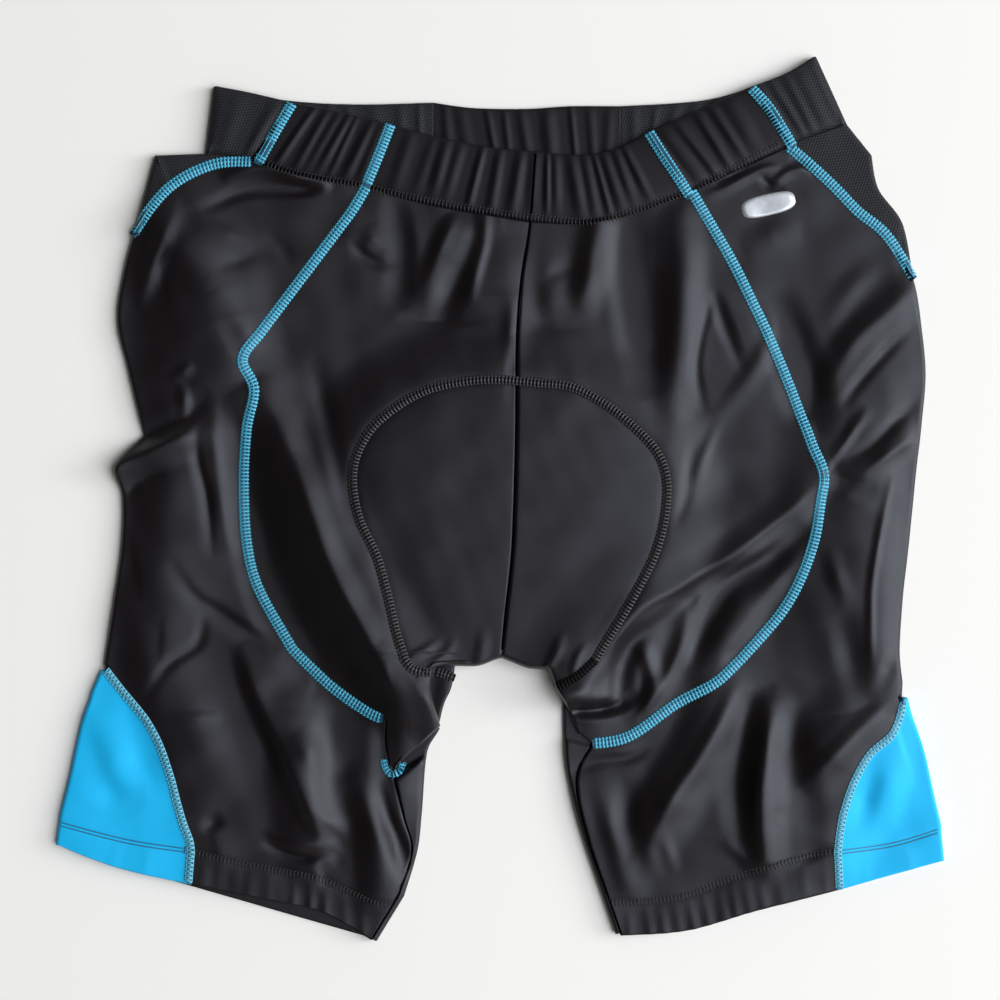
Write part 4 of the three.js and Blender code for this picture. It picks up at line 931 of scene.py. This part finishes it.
class Route:
    """A sewn line laid on the cloth: places along it, across it and above it."""

    STEP = 0.8

    def __init__(self, ground, line, half, lift=0.0):
        self.line = evenly(line, self.STEP)
        step = np.gradient(self.line, axis=0)
        step /= np.maximum(np.hypot(*step.T), 1e-9)[:, None]
        self.side = np.stack([-step[:, 1], step[:, 0]], -1)
        run = np.hypot(*np.diff(self.line, axis=0).T)
        self.run = np.concatenate([[0], np.cumsum(run)])
        self.length = self.run[-1]
        self.half = half
        self.across = np.linspace(-half, half, 7)
        plan = self.line[:, None] + self.side[:, None] * self.across[None, :, None]
        z = np.array([[self.drop(ground, p) for p in row] for row in plan])
        near = np.pad(z, ((1, 1), (0, 0)), mode="edge")
        self.z = np.maximum(z, (near[:-2] + near[1:-1] + near[2:]) / 3) + lift

    @staticmethod
    def drop(ground, p):
        """Height of the cloth at a plan point."""
        x, y = (p[0] + SHIFT[0]) * MM, (p[1] + SHIFT[1]) * MM
        hit = ground.ray_cast(Vector((x, y, 0.1)), Vector((0, 0, -1)))[0]
        if hit is None:
            hit = ground.find_nearest(Vector((x, y, 0.002)))[0]
        return hit.z / MM

    def at(self, along, across, above):
        """Places given by their way along the line, across it and above the cloth."""
        s = np.clip(along, 0, self.length)
        x, y = (np.interp(s, self.run, self.line[:, k]) for k in (0, 1))
        nx, ny = (np.interp(s, self.run, self.side[:, k]) for k in (0, 1))
        row = np.interp(s, self.run, np.arange(len(self.run)))
        i = np.clip(row.astype(int), 0, len(self.run) - 2)
        u = row - i
        col = np.clip((across + self.half) / (2 * self.half) * 6, 0, 6)
        j = np.clip(col.astype(int), 0, 5)
        w = col - j
        z = ((self.z[i, j] * (1 - w) + self.z[i, j + 1] * w) * (1 - u)
             + (self.z[i + 1, j] * (1 - w) + self.z[i + 1, j + 1] * w) * u)
        return np.stack([x + nx * across, y + ny * across, z + above], -1)

    def bend(self, piece):
        """Lays a piece that was made straight, in millimetres along X, onto the route."""
        place(piece, self.at(*read_points(piece).T))


def tape(route, name, width, crown, look):
    """The flat strip of crossed threads under a row of stitches."""
    piece = grid(name, 5, max(4, round(route.length / 1.6)) + 1)
    along, across, _ = read_points(piece).T
    place(piece, route.at((along + 0.5) * route.length, across * width, crown * (1 - (2 * across) ** 4)))
    return dress(piece, look)


def bar(length, wide, high, x, y, turn):
    """One thread as a slim six-sided rod with its ends drawn in."""
    bpy.ops.mesh.primitive_cylinder_add(vertices=6, radius=1, depth=1, end_fill_type="TRIFAN")
    rod = bpy.context.object
    rod.scale = (wide, high, length)
    rod.rotation_euler = (math.pi / 2, 0, turn)
    rod.location = (x, y, high * 0.8)
    bpy.ops.object.transform_apply(location=True, rotation=True, scale=True)
    return rod


def cover(route, name, pitch, width, thread, look, lean=0.0):
    """A cover stitch: crosswise threads, held by a line of thread in the middle and one near each edge.
    Sizes are shares of the pitch or the width."""
    made = [bar(width, pitch * 0.29, thread, pitch / 2, 0, lean)]
    for y in (-width * 0.36, 0, width * 0.36):
        made.append(bar(pitch * 1.1, 0.42, thread * 0.9, pitch / 2, y, math.pi / 2))
    return repeat(route, name, made, pitch, look)


def zigzag(route, name, pitch, width, thread, look):
    """An overlock: crosswise threads that lean to and fro, held by a line near each edge."""
    lean = math.atan2(pitch / 2, width)
    made = [bar(width, 0.42, thread, pitch * at, 0, way * lean) for at, way in ((0.25, 1), (0.75, -1))]
    for y in (-width * 0.42, width * 0.42):
        made.append(bar(pitch * 1.05, 0.34, thread * 0.9, pitch / 2, y, math.pi / 2))
    return repeat(route, name, made, pitch, look)


def ticks(route, name, pitch, width, thread, look):
    """The short crosswise threads of a hem, along one needle line."""
    made = [bar(width, thread * 1.3, thread, pitch / 2, 0, 0.1)]
    made.append(bar(pitch * 0.8, thread, thread, pitch / 2, width / 2, math.pi / 2))
    return repeat(route, name, made, pitch, look)


def repeat(route, name, made, pitch, look):
    """Joins the threads of one stitch and repeats them along the route."""
    bpy.ops.object.select_all(action="DESELECT")
    for piece in made:
        piece.select_set(True)
    bpy.context.view_layer.objects.active = made[0]
    bpy.ops.object.join()
    piece = bpy.context.object
    piece.name = piece.data.name = name
    row = piece.modifiers.new("row", "ARRAY")
    row.use_relative_offset, row.use_constant_offset = False, True
    row.constant_offset_displace = (pitch, 0, 0)
    row.count = max(1, int(route.length / pitch))
    bpy.ops.object.modifier_apply(modifier="row")
    route.bend(piece)
    return dress(piece, look)


# Materials.
def node(tree, kind, values=None, links=None):
    """A shader node, with the inputs that are set and those that are linked."""
    made = tree.nodes.new(f"ShaderNode{kind}")
    for label, value in (values or {}).items():
        made.inputs[label].default_value = value
    for label, source in (links or {}).items():
        tree.links.new(source, made.inputs[label])
    return made


def maths(tree, operation, *values):
    """The result of a sum on numbers or sockets."""
    made = node(tree, "Math")
    made.operation = operation
    for socket, value in zip(made.inputs, values):
        if isinstance(value, (int, float)):
            socket.default_value = value
        else:
            tree.links.new(value, socket)
    return made.outputs[0]


def shader_group(name, given, results):
    """An empty node group: its number inputs with their defaults, and its number outputs."""
    group = bpy.data.node_groups.new(name, "ShaderNodeTree")
    for label, value in given.items():
        socket = group.interface.new_socket(name=label, in_out="INPUT", socket_type="NodeSocketFloat")
        socket.default_value = value
    for label in results:
        group.interface.new_socket(name=label, in_out="OUTPUT", socket_type="NodeSocketFloat")
    return group, group.nodes.new("NodeGroupInput").outputs, group.nodes.new("NodeGroupOutput").inputs


def place_on_cloth(tree, turn=0.0):
    """Object coordinates in metres, turned in the plan."""
    coords = node(tree, "TexCoord").outputs["Object"]
    return node(tree, "Mapping", {"Rotation": (0, 0, turn)}, {"Vector": coords}).outputs["Vector"]


def crossed_waves(tree, turn, count, shares):
    """Waves along both axes of the plan, multiplied. Their count in a metre is a share of the given one."""
    axes, waves = node(tree, "SeparateXYZ", links={0: place_on_cloth(tree, turn)}), []
    for axis, share in enumerate(shares):
        turns = maths(tree, "MULTIPLY", axes.outputs[axis], count)
        waves.append(maths(tree, "SINE", maths(tree, "MULTIPLY", turns, 2 * math.pi * share)))
    return maths(tree, "MULTIPLY", *waves)


def make_weave():
    """Fine stretch knit: wales across courses, with soft unevenness. Wales is their count in a metre."""
    group, given, out = shader_group("stretch_knit", {"Wales": 2200, "Unevenness": 0.3}, ("Height", "Tone"))
    knit = crossed_waves(group, 0.0, given["Wales"], (1.0, 1.4))
    noise = node(group, "TexNoise", {"Scale": 38, "Detail": 4}, {"Vector": place_on_cloth(group)}).outputs[0]
    uneven = maths(group, "MULTIPLY", noise, given["Unevenness"])
    group.links.new(maths(group, "ADD", maths(group, "MULTIPLY", knit, 0.12), uneven), out["Height"])
    group.links.new(noise, out["Tone"])
    return group


def make_holes():
    """Knit mesh: rows of small holes on the slant. Holes is their count in a metre."""
    group, given, out = shader_group("mesh_holes", {"Holes": 560, "Softness": 0.5}, ("Height", "Hole"))
    knit = crossed_waves(group, 0.9, given["Holes"], (1.0, 0.62))
    lifted = maths(group, "MULTIPLY", maths(group, "ADD", knit, 1.0), 0.5)
    group.links.new(maths(group, "MULTIPLY", lifted, given["Softness"]), out["Height"])
    group.links.new(maths(group, "GREATER_THAN", lifted, 0.62), out["Hole"])
    return group


def blend_colours(tree, share, dark, light):
    """A colour between two, by a socket's value."""
    mixer = node(tree, "Mix")
    mixer.data_type = "RGBA"
    tree.links.new(share, mixer.inputs[0])
    mixer.inputs[6].default_value, mixer.inputs[7].default_value = (*dark, 1), (*light, 1)
    return mixer.outputs[2]


def new_look(name, values):
    """A material whose shader has some inputs set."""
    look = bpy.data.materials.new(name)
    look.use_nodes = True
    shader = look.node_tree.nodes["Principled BSDF"]
    for label, value in values.items():
        shader.inputs[label].default_value = value
    return look, look.node_tree, shader


def pattern(tree, group, values=None):
    """The sockets of a pattern in a material."""
    made = node(tree, "Group")
    made.node_tree = group
    for label, value in (values or {}).items():
        made.inputs[label].default_value = value
    return made.outputs


def colour_and_relief(tree, shader, colour, height, strength, depth, invert=False):
    """Links the shader's colour and its fine relief, depth in metres."""
    bump = node(tree, "Bump", {"Strength": strength, "Distance": depth}, {"Height": height})
    bump.invert = invert
    tree.links.new(colour, shader.inputs["Base Color"])
    tree.links.new(bump.outputs[0], shader.inputs["Normal"])


def cloth_look(name, dark, light, roughness, gloss, sheen=0.02, sheen_tint=(0.75, 0.8, 1.0)):
    look, tree, shader = new_look(name, {
        "Roughness": roughness, "Specular IOR Level": gloss, "Specular Tint": (0.9, 0.91, 1.0, 1),
        "Sheen Weight": sheen, "Sheen Roughness": 0.35, "Sheen Tint": (*sheen_tint, 1),
    })
    weave = pattern(tree, WEAVE, {"Unevenness": 0.6})
    colour = blend_colours(tree, weave["Tone"], dark, light)
    colour_and_relief(tree, shader, colour, weave["Height"], 0.25, 0.0008)
    return look


def mesh_look(name, dark, light):
    look, tree, shader = new_look(name, {"Roughness": 0.6, "Specular IOR Level": 0.22, "Sheen Weight": 0.03})
    holes = pattern(tree, HOLES)
    colour = blend_colours(tree, holes["Hole"], light, dark)
    colour_and_relief(tree, shader, colour, holes["Height"], 0.6, 0.0005, invert=True)
    return look


def thread_look(name, dark, light, roughness=0.5, gloss=0.5, metal=0.0):
    values = {"Roughness": roughness, "Specular IOR Level": gloss, "Metallic": metal}
    look, tree, shader = new_look(name, values)
    noise = node(tree, "TexNoise", {"Scale": 260, "Detail": 2}, {"Vector": place_on_cloth(tree)}).outputs[0]
    colour_and_relief(tree, shader, blend_colours(tree, noise, dark, light), noise, 0.3, 0.0002)
    return look


WEAVE, HOLES = make_weave(), make_holes()
BLACK = (0.0042, 0.0021, 0.0021), (0.0056, 0.0036, 0.0038)
jersey = cloth_look("stretch_jersey", *BLACK, 0.42, 0.40)
band_jersey = cloth_look("waistband_jersey", *BLACK, 0.50, 0.25)
blue_jersey = cloth_look("blue_jersey", (0.007, 0.38, 0.70), (0.012, 0.47, 0.82), 0.55, 0.2,
                         sheen_tint=(0.8, 0.95, 1.0))
pad_fabric = cloth_look("pad_fabric", (0.02, 0.02, 0.024), (0.03, 0.03, 0.035), 0.8, 0.3, 0.1, (1, 1, 1))
knit_mesh = mesh_look("knit_mesh", (0.002, 0.002, 0.0025), (0.016, 0.0155, 0.018))
blue_thread = thread_look("blue_cover_thread", (0.040, 0.29, 0.43), (0.090, 0.45, 0.61))
blue_tape = thread_look("blue_seam_tape", (0.006, 0.05, 0.085), (0.012, 0.08, 0.13))
pale_thread = thread_look("pale_overlock_thread", (0.08, 0.36, 0.48), (0.17, 0.50, 0.62))
pale_tape = thread_look("pale_overlock_tape", (0.012, 0.12, 0.20), (0.02, 0.17, 0.27))
deep_thread = thread_look("deep_blue_thread", (0.008, 0.10, 0.19), (0.014, 0.16, 0.28))
black_thread = thread_look("black_thread", (0.011, 0.009, 0.010), (0.028, 0.024, 0.026))
hem_thread = thread_look("hem_thread", (0.010, 0.009, 0.010), (0.022, 0.020, 0.022))
black_tape = thread_look("black_seam_tape", (0.0015, 0.0012, 0.0014), (0.003, 0.0025, 0.003), 0.7, gloss=0.12)
# Near-black and matte, for the centre seam and the inseams: painted shade standing in for the shadow in the
# seam's groove.
seam_shade_strip = thread_look("black_seam_line", (0.0004, 0.0003, 0.0004), (0.0008, 0.0007, 0.0008), 1.0, gloss=0.0)
silver = thread_look("reflective_silver", (0.50, 0.50, 0.52), (0.72, 0.72, 0.75), 0.32, metal=0.55)


# The pieces.
def seat_pad():
    """The seat pad between the two layers: a padded form under the front, flat below."""
    rows, across, top, bottom = 44, 44, 60.0, -76.0
    ring = PAD_LINE + PAD_LINE[:1]
    plan = np.zeros((rows, across, 2))
    for r, y in enumerate(np.linspace(top, bottom, rows)):
        x = [a[0] + (b[0] - a[0]) * (y - a[1]) / (b[1] - a[1])
             for a, b in zip(ring, ring[1:]) if (a[1] > y) != (b[1] > y)]
        plan[r, :, 0] = np.linspace(min(x) + PAD_INSET, max(x) - PAD_INSET, across)
        plan[r, :, 1] = y
    upper = relief.at(plan[..., 0], plan[..., 1]) - PAD_COVER
    from_edge = [np.minimum(np.arange(count), np.arange(count)[::-1]) for count in (rows, across)]
    rim = np.minimum(from_edge[0][:, None], from_edge[1][None])
    z = PAD_FLOOR + (upper - PAD_FLOOR) * np.clip(rim / 3, 0, 1) ** 0.5
    pad = grid("seat_pad_foam", rows, across)
    place(pad, level(plan, np.maximum(z, PAD_FLOOR + 0.3))[::-1])
    bpy.ops.object.mode_set(mode="EDIT")
    bpy.ops.mesh.select_all(action="SELECT")
    bpy.ops.mesh.extrude_region_move(TRANSFORM_OT_translate={"value": (0, 0, 0)})
    bpy.ops.object.mode_set(mode="OBJECT")
    for v in pad.data.vertices:
        if v.select:
            v.co.z = PAD_FLOOR * MM
    bpy.ops.object.mode_set(mode="EDIT")
    bpy.ops.mesh.select_all(action="SELECT")
    bpy.ops.mesh.normals_make_consistent(inside=False)
    bpy.ops.object.mode_set(mode="OBJECT")
    return dress(pad, pad_fabric)


def reflective_patch(ground):
    """A plain reflective oval, with a fine raised border."""
    bpy.ops.mesh.primitive_circle_add(vertices=64, radius=1, fill_type="TRIFAN")
    patch = bpy.context.object
    patch.name = patch.data.name = "reflective_oval"
    bpy.ops.object.mode_set(mode="EDIT")
    bpy.ops.mesh.select_all(action="SELECT")
    bpy.ops.mesh.subdivide(number_cuts=5)
    bpy.ops.object.mode_set(mode="OBJECT")
    (cx, cy), c, s = PATCH["centre"], math.cos(PATCH["tilt"]), math.sin(PATCH["tilt"])
    for v in patch.data.vertices:
        r = math.hypot(v.co.x, v.co.y)
        full = r / max((abs(v.co.x) ** 3 + abs(v.co.y) ** 3) ** (1 / 3), 1e-6)
        u, w = v.co.x * full * PATCH["half_length"], v.co.y * full * PATCH["half_width"]
        x, y = cx + u * c - w * s, cy + u * s + w * c
        border = 0.12 * max(0.0, 1 - abs(r - 0.93) / 0.05)
        lift = PATCH["lift"] * min(1.0, (1 - r) * 14 + 0.35) + border
        v.co = ((x + SHIFT[0]) * MM, (y + SHIFT[1]) * MM, (Route.drop(ground, (x, y)) + lift) * MM)
    patch.data.update()
    bpy.ops.object.shade_smooth()
    thicken(patch, PATCH["wall"])
    return dress(patch, silver)


cloths = {**half_panels("left"), **half_panels("right"), **waistband()}
everything = tops_of(cloths.values())
ground = tops_of(piece for name, piece in cloths.items() if not name.startswith(("back_", "waist_back")))
sewn = []


def cover_seam(name, line, ribbon, thread, width=COVER_WIDTH, on=ground, lift=0.0, sewing=cover,
               pitch=COVER_PITCH):
    """A flat seam: its ribbon and the stitches on it."""
    route = Route(on, line, width / 2, lift)
    sewn.append(tape(route, f"{name}_tape", width * RIBBON_SHARE, RIBBON_CROWN, ribbon))
    sewn.append(sewing(route, f"{name}_stitches", pitch, width, THREAD, thread))


def comb_seam(name, line, width=4.0, pitch=2.1):
    """The comb-like stitches beside a hem or the waistband."""
    route = Route(ground, line, width / 2)
    sewn.append(ticks(route, f"{name}_stitches", pitch, width, FINE_THREAD, hem_thread))


def twin_seam(name, line):
    """Two close rows of fine thread."""
    for row, step in enumerate((-1.0, 1.0)):
        route = Route(ground, [(x, y + step) for x, y in line], 0.5)
        sewn.append(tape(route, f"{name}_row_{row}", 0.75, LINE_CROWN, deep_thread))


def dark_seam(name, line, on=everything, width=1.1):
    """A plain seam as a near-black matte strip: painted shade for the shadow in its groove."""
    sewn.append(tape(Route(on, line, width / 2), f"{name}_seam", width, LINE_CROWN, seam_shade_strip))


ON_BAND = {"lift": 0.3}
BLUE_SEAMS = [
    ("hip_left", left.column("edge", 0, 3), {}),
    ("band_a_left", spot([(293, 105), (275, 136), (258, 166)]), ON_BAND),
    ("leg_left", [*(p for p in left.column("leg", 0, 17) if p[0] < -67), *spot([(384, 717)])], {}),
    ("hook_left", spot([(384, 758), (386, 767), (392, 773), (400, 770), (404, 761)]),
     {"width": 3.8, "on": everything}),
    ("band_b_left", spot([(391, 126), (379, 157), (366, 188)]), ON_BAND),
    ("leg_right", right.column("leg", 0, 18), {}),
    ("band_a_right", spot([(648, 134), (662, 157), (680, 184), (690, 199)]), ON_BAND),
    ("hip_right", right.column("edge", 0, 5), {}),
    ("band_b_right", spot([(750, 90), (768, 111), (780, 130), (792, 149)]), ON_BAND),
]
for name, line, settings in BLUE_SEAMS:
    cover_seam(f"blue_{name}", line, blue_tape, blue_thread, **settings)
for side, half in HALVES.items():
    cover_seam(f"gusset_{side}", half.column("edge", *SPANS[side]["gusset"]), pale_tape, pale_thread,
               GUSSET_WIDTH, sewing=zigzag, pitch=GUSSET_PITCH)
PAD_SEAMS = [
    ("pad", PAD_STITCHES, black_thread, {"lift": 0.1}),
    ("pad_end_left", [(406, 657), (415, 667), (435, 671), (455, 678)], black_thread, {"on": everything}),
    # Its stitches take the dark tape look as thread: painted shade, for the hollow under the fold where they
    # lie.
    ("pad_end_right", [(594, 658), (576, 674), (556, 684)], black_tape, {"on": everything}),
]
for name, line, thread, settings in PAD_SEAMS:
    cover_seam(name, spot(line), black_tape, thread, PAD_SEAM_WIDTH, **settings)
comb_seam("hem_left", spot(LEFT_HEM_STITCHES[2:]), 3.6)
comb_seam("hem_right", spot(RIGHT_HEM_STITCHES[:7]), 3.6)
twin_seam("hem_blue_left", spot(LEFT_HEM_STITCHES[:3]))
twin_seam("hem_blue_right", spot(RIGHT_HEM_STITCHES[6:]))
WAIST_STITCHES = {
    "left": [(268, 165), (303, 177), (362, 187)],
    "front": [(372, 190), (420, 201), (475, 211), (531, 219), (590, 223), (640, 210), (684, 194)],
    "right": [(696, 189), (735, 169), (779, 146)],
}
for name, line in WAIST_STITCHES.items():
    comb_seam(f"waist_{name}", spot(line))
# The centre seam and the inseams are drawn with the painted seam shade.
dark_seam("centre", [*((x - 0.5, y) for x, y in CENTRE_SEAM[:-1]), (1.2, -84)], on=ground, width=1.4)
for side, half in HALVES.items():
    dark_seam(f"inseam_{side}", half.column("leg", SPANS[side]["flap"], SPANS[side]["gusset"][1]))

pad = seat_pad()
oval = reflective_patch(ground)

# How the cloth was cut. Each row has the width, length and area in metres, the casings twice their height,
# then what the piece lies on and how the names of the sewing on it begin.
CUTS = {
    "back_left": (0.21, 0.445, 0.070, [], ["inseam_left", "pad_end_left"]),
    "back_right": (0.21, 0.44, 0.0685, [], ["inseam_right", "pad_end_right"]),
    "front_centre_left": (0.165, 0.335, 0.042, ["back_left"], ["pad_t", "pad_s", "centre", "waist_front"]),
    "front_centre_right": (0.18, 0.32, 0.0435, ["back_right"], []),
    "thigh_left": (0.175, 0.45, 0.0505, ["back_left"],
                   ["blue_leg_left", "blue_hook", "hem_left", "waist_left"]),
    "thigh_right": (0.18, 0.46, 0.052, ["back_right"], ["blue_leg_right", "hem_right", "waist_right"]),
    "hip_mesh_left": (0.085, 0.17, 0.0085, ["back_left"], ["blue_hip_left"]),
    "hip_mesh_right": (0.105, 0.155, 0.0115, ["back_right"], ["blue_hip_right"]),
    "gusset_left": (0.095, 0.125, 0.0100, ["back_left"], ["gusset_left", "hem_blue_left"]),
    "gusset_right": (0.075, 0.12, 0.0075, ["back_right"], ["gusset_right", "hem_blue_right"]),
    "waist_back": (0.107, 0.078, 0.0078, [], []),
    "waist_mesh_left": (0.15, 0.082, 0.0117, ["waist_back"], []),
    "waist_mesh_right": (0.145, 0.084, 0.0113, ["waist_back"], []),
    "waist_side_left": (0.073, 0.08, 0.0050, ["waist_mesh_left"], ["blue_band_a_left"]),
    "waist_side_right": (0.07, 0.08, 0.0050, ["waist_mesh_right"], ["blue_band_b_right"]),
    "waist_front_left": (0.098, 0.084, 0.0071, ["waist_back"], ["blue_band_b_left"]),
    "waist_front_right": (0.093, 0.084, 0.0064, ["waist_back"], ["blue_band_a_right"]),
}
for name, (width, length, area, under, sewing) in CUTS.items():
    along = [piece for piece in sewn if piece.name.startswith(tuple(sewing))] if sewing else []

# What each piece rides on and stands for.
for name, piece in cloths.items():
    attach(piece, "root")
    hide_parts(name)
for piece in sewn:
    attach(piece, "root")
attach(pad, "root")
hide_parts("seat_pad")
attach(oval, "root")
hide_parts("reflective_patch")

# Floor, light and camera.
FLOOR_SIZE, FLOOR_DROP = 6, 0.0004
bpy.ops.mesh.primitive_plane_add(size=FLOOR_SIZE, location=(0, 0, -FLOOR_DROP))
floor = bpy.context.object
floor.name = "floor"
floor_look, _, _ = new_look("pale_floor", {"Base Color": (0.86, 0.812, 0.752, 1), "Roughness": 0.7})
floor.data.materials.append(floor_look)


def softbox(name, location, size, power, colour):
    """A soft studio light that points at the middle."""
    light = bpy.data.lights.new(name, "AREA")
    light.shape, light.size, light.size_y = "RECTANGLE", size[0], size[1]
    light.energy, light.color = power, colour
    lamp = bpy.data.objects.new(name, light)
    lamp.location = location
    lamp.rotation_euler = (-Vector(location)).to_track_quat("-Z", "Y").to_euler()
    bpy.context.collection.objects.link(lamp)


softbox("window_light", (4.0, -0.8, 4.9), (6.0, 6.0), 565, (0.86, 0.925, 1.0))
softbox("side_light", (4.2, 0.3, 1.3), (1.8, 1.2), 120, (0.88, 0.94, 1.0))
world = bpy.data.worlds.new("studio")
bpy.context.scene.world = world
world.use_nodes = True
sky = world.node_tree
axes = node(sky, "SeparateXYZ", links={0: node(sky, "TexCoord").outputs["Generated"]})
walls = node(sky, "ValToRGB", links={0: axes.outputs[2]})
# Brighter on the window's side.
toward_window = maths(sky, "ADD", maths(sky, "MULTIPLY", axes.outputs[0], 0.45), 0.5)
for label, source in (("Color", walls.outputs[0]), ("Strength", toward_window)):
    sky.links.new(source, sky.nodes["Background"].inputs[label])
# The room's glow, from straight below to straight above.
GLOW_STOPS = [(0.0, 0.95), (0.30, 0.85), (0.52, 0.35), (0.75, 0.16), (1.0, 0.14)]
ramp = walls.color_ramp.elements
stops = [ramp[0], *(ramp.new(at) for at, _ in GLOW_STOPS[1:-1]), ramp[-1]]
for stop, (_, glow) in zip(stops, GLOW_STOPS):
    stop.color = (glow, glow * 0.975, glow * 0.93, 1)
bpy.context.scene.view_settings.view_transform = "Standard"

CAMERA_HEIGHT = 1.3
VIEW_PIXELS, SENSOR = 1000, 36
camera_data = bpy.data.cameras.new("camera")
camera_data.sensor_width = SENSOR
camera_data.lens = SENSOR * CAMERA_HEIGHT / (VIEW_PIXELS * PICTURE_MM * MM)
camera = bpy.data.objects.new("camera", camera_data)
camera.location = (0, (SHIFT[1] - PICTURE_MM / 2) * MM, CAMERA_HEIGHT)
bpy.context.collection.objects.link(camera)
bpy.context.scene.camera = camera
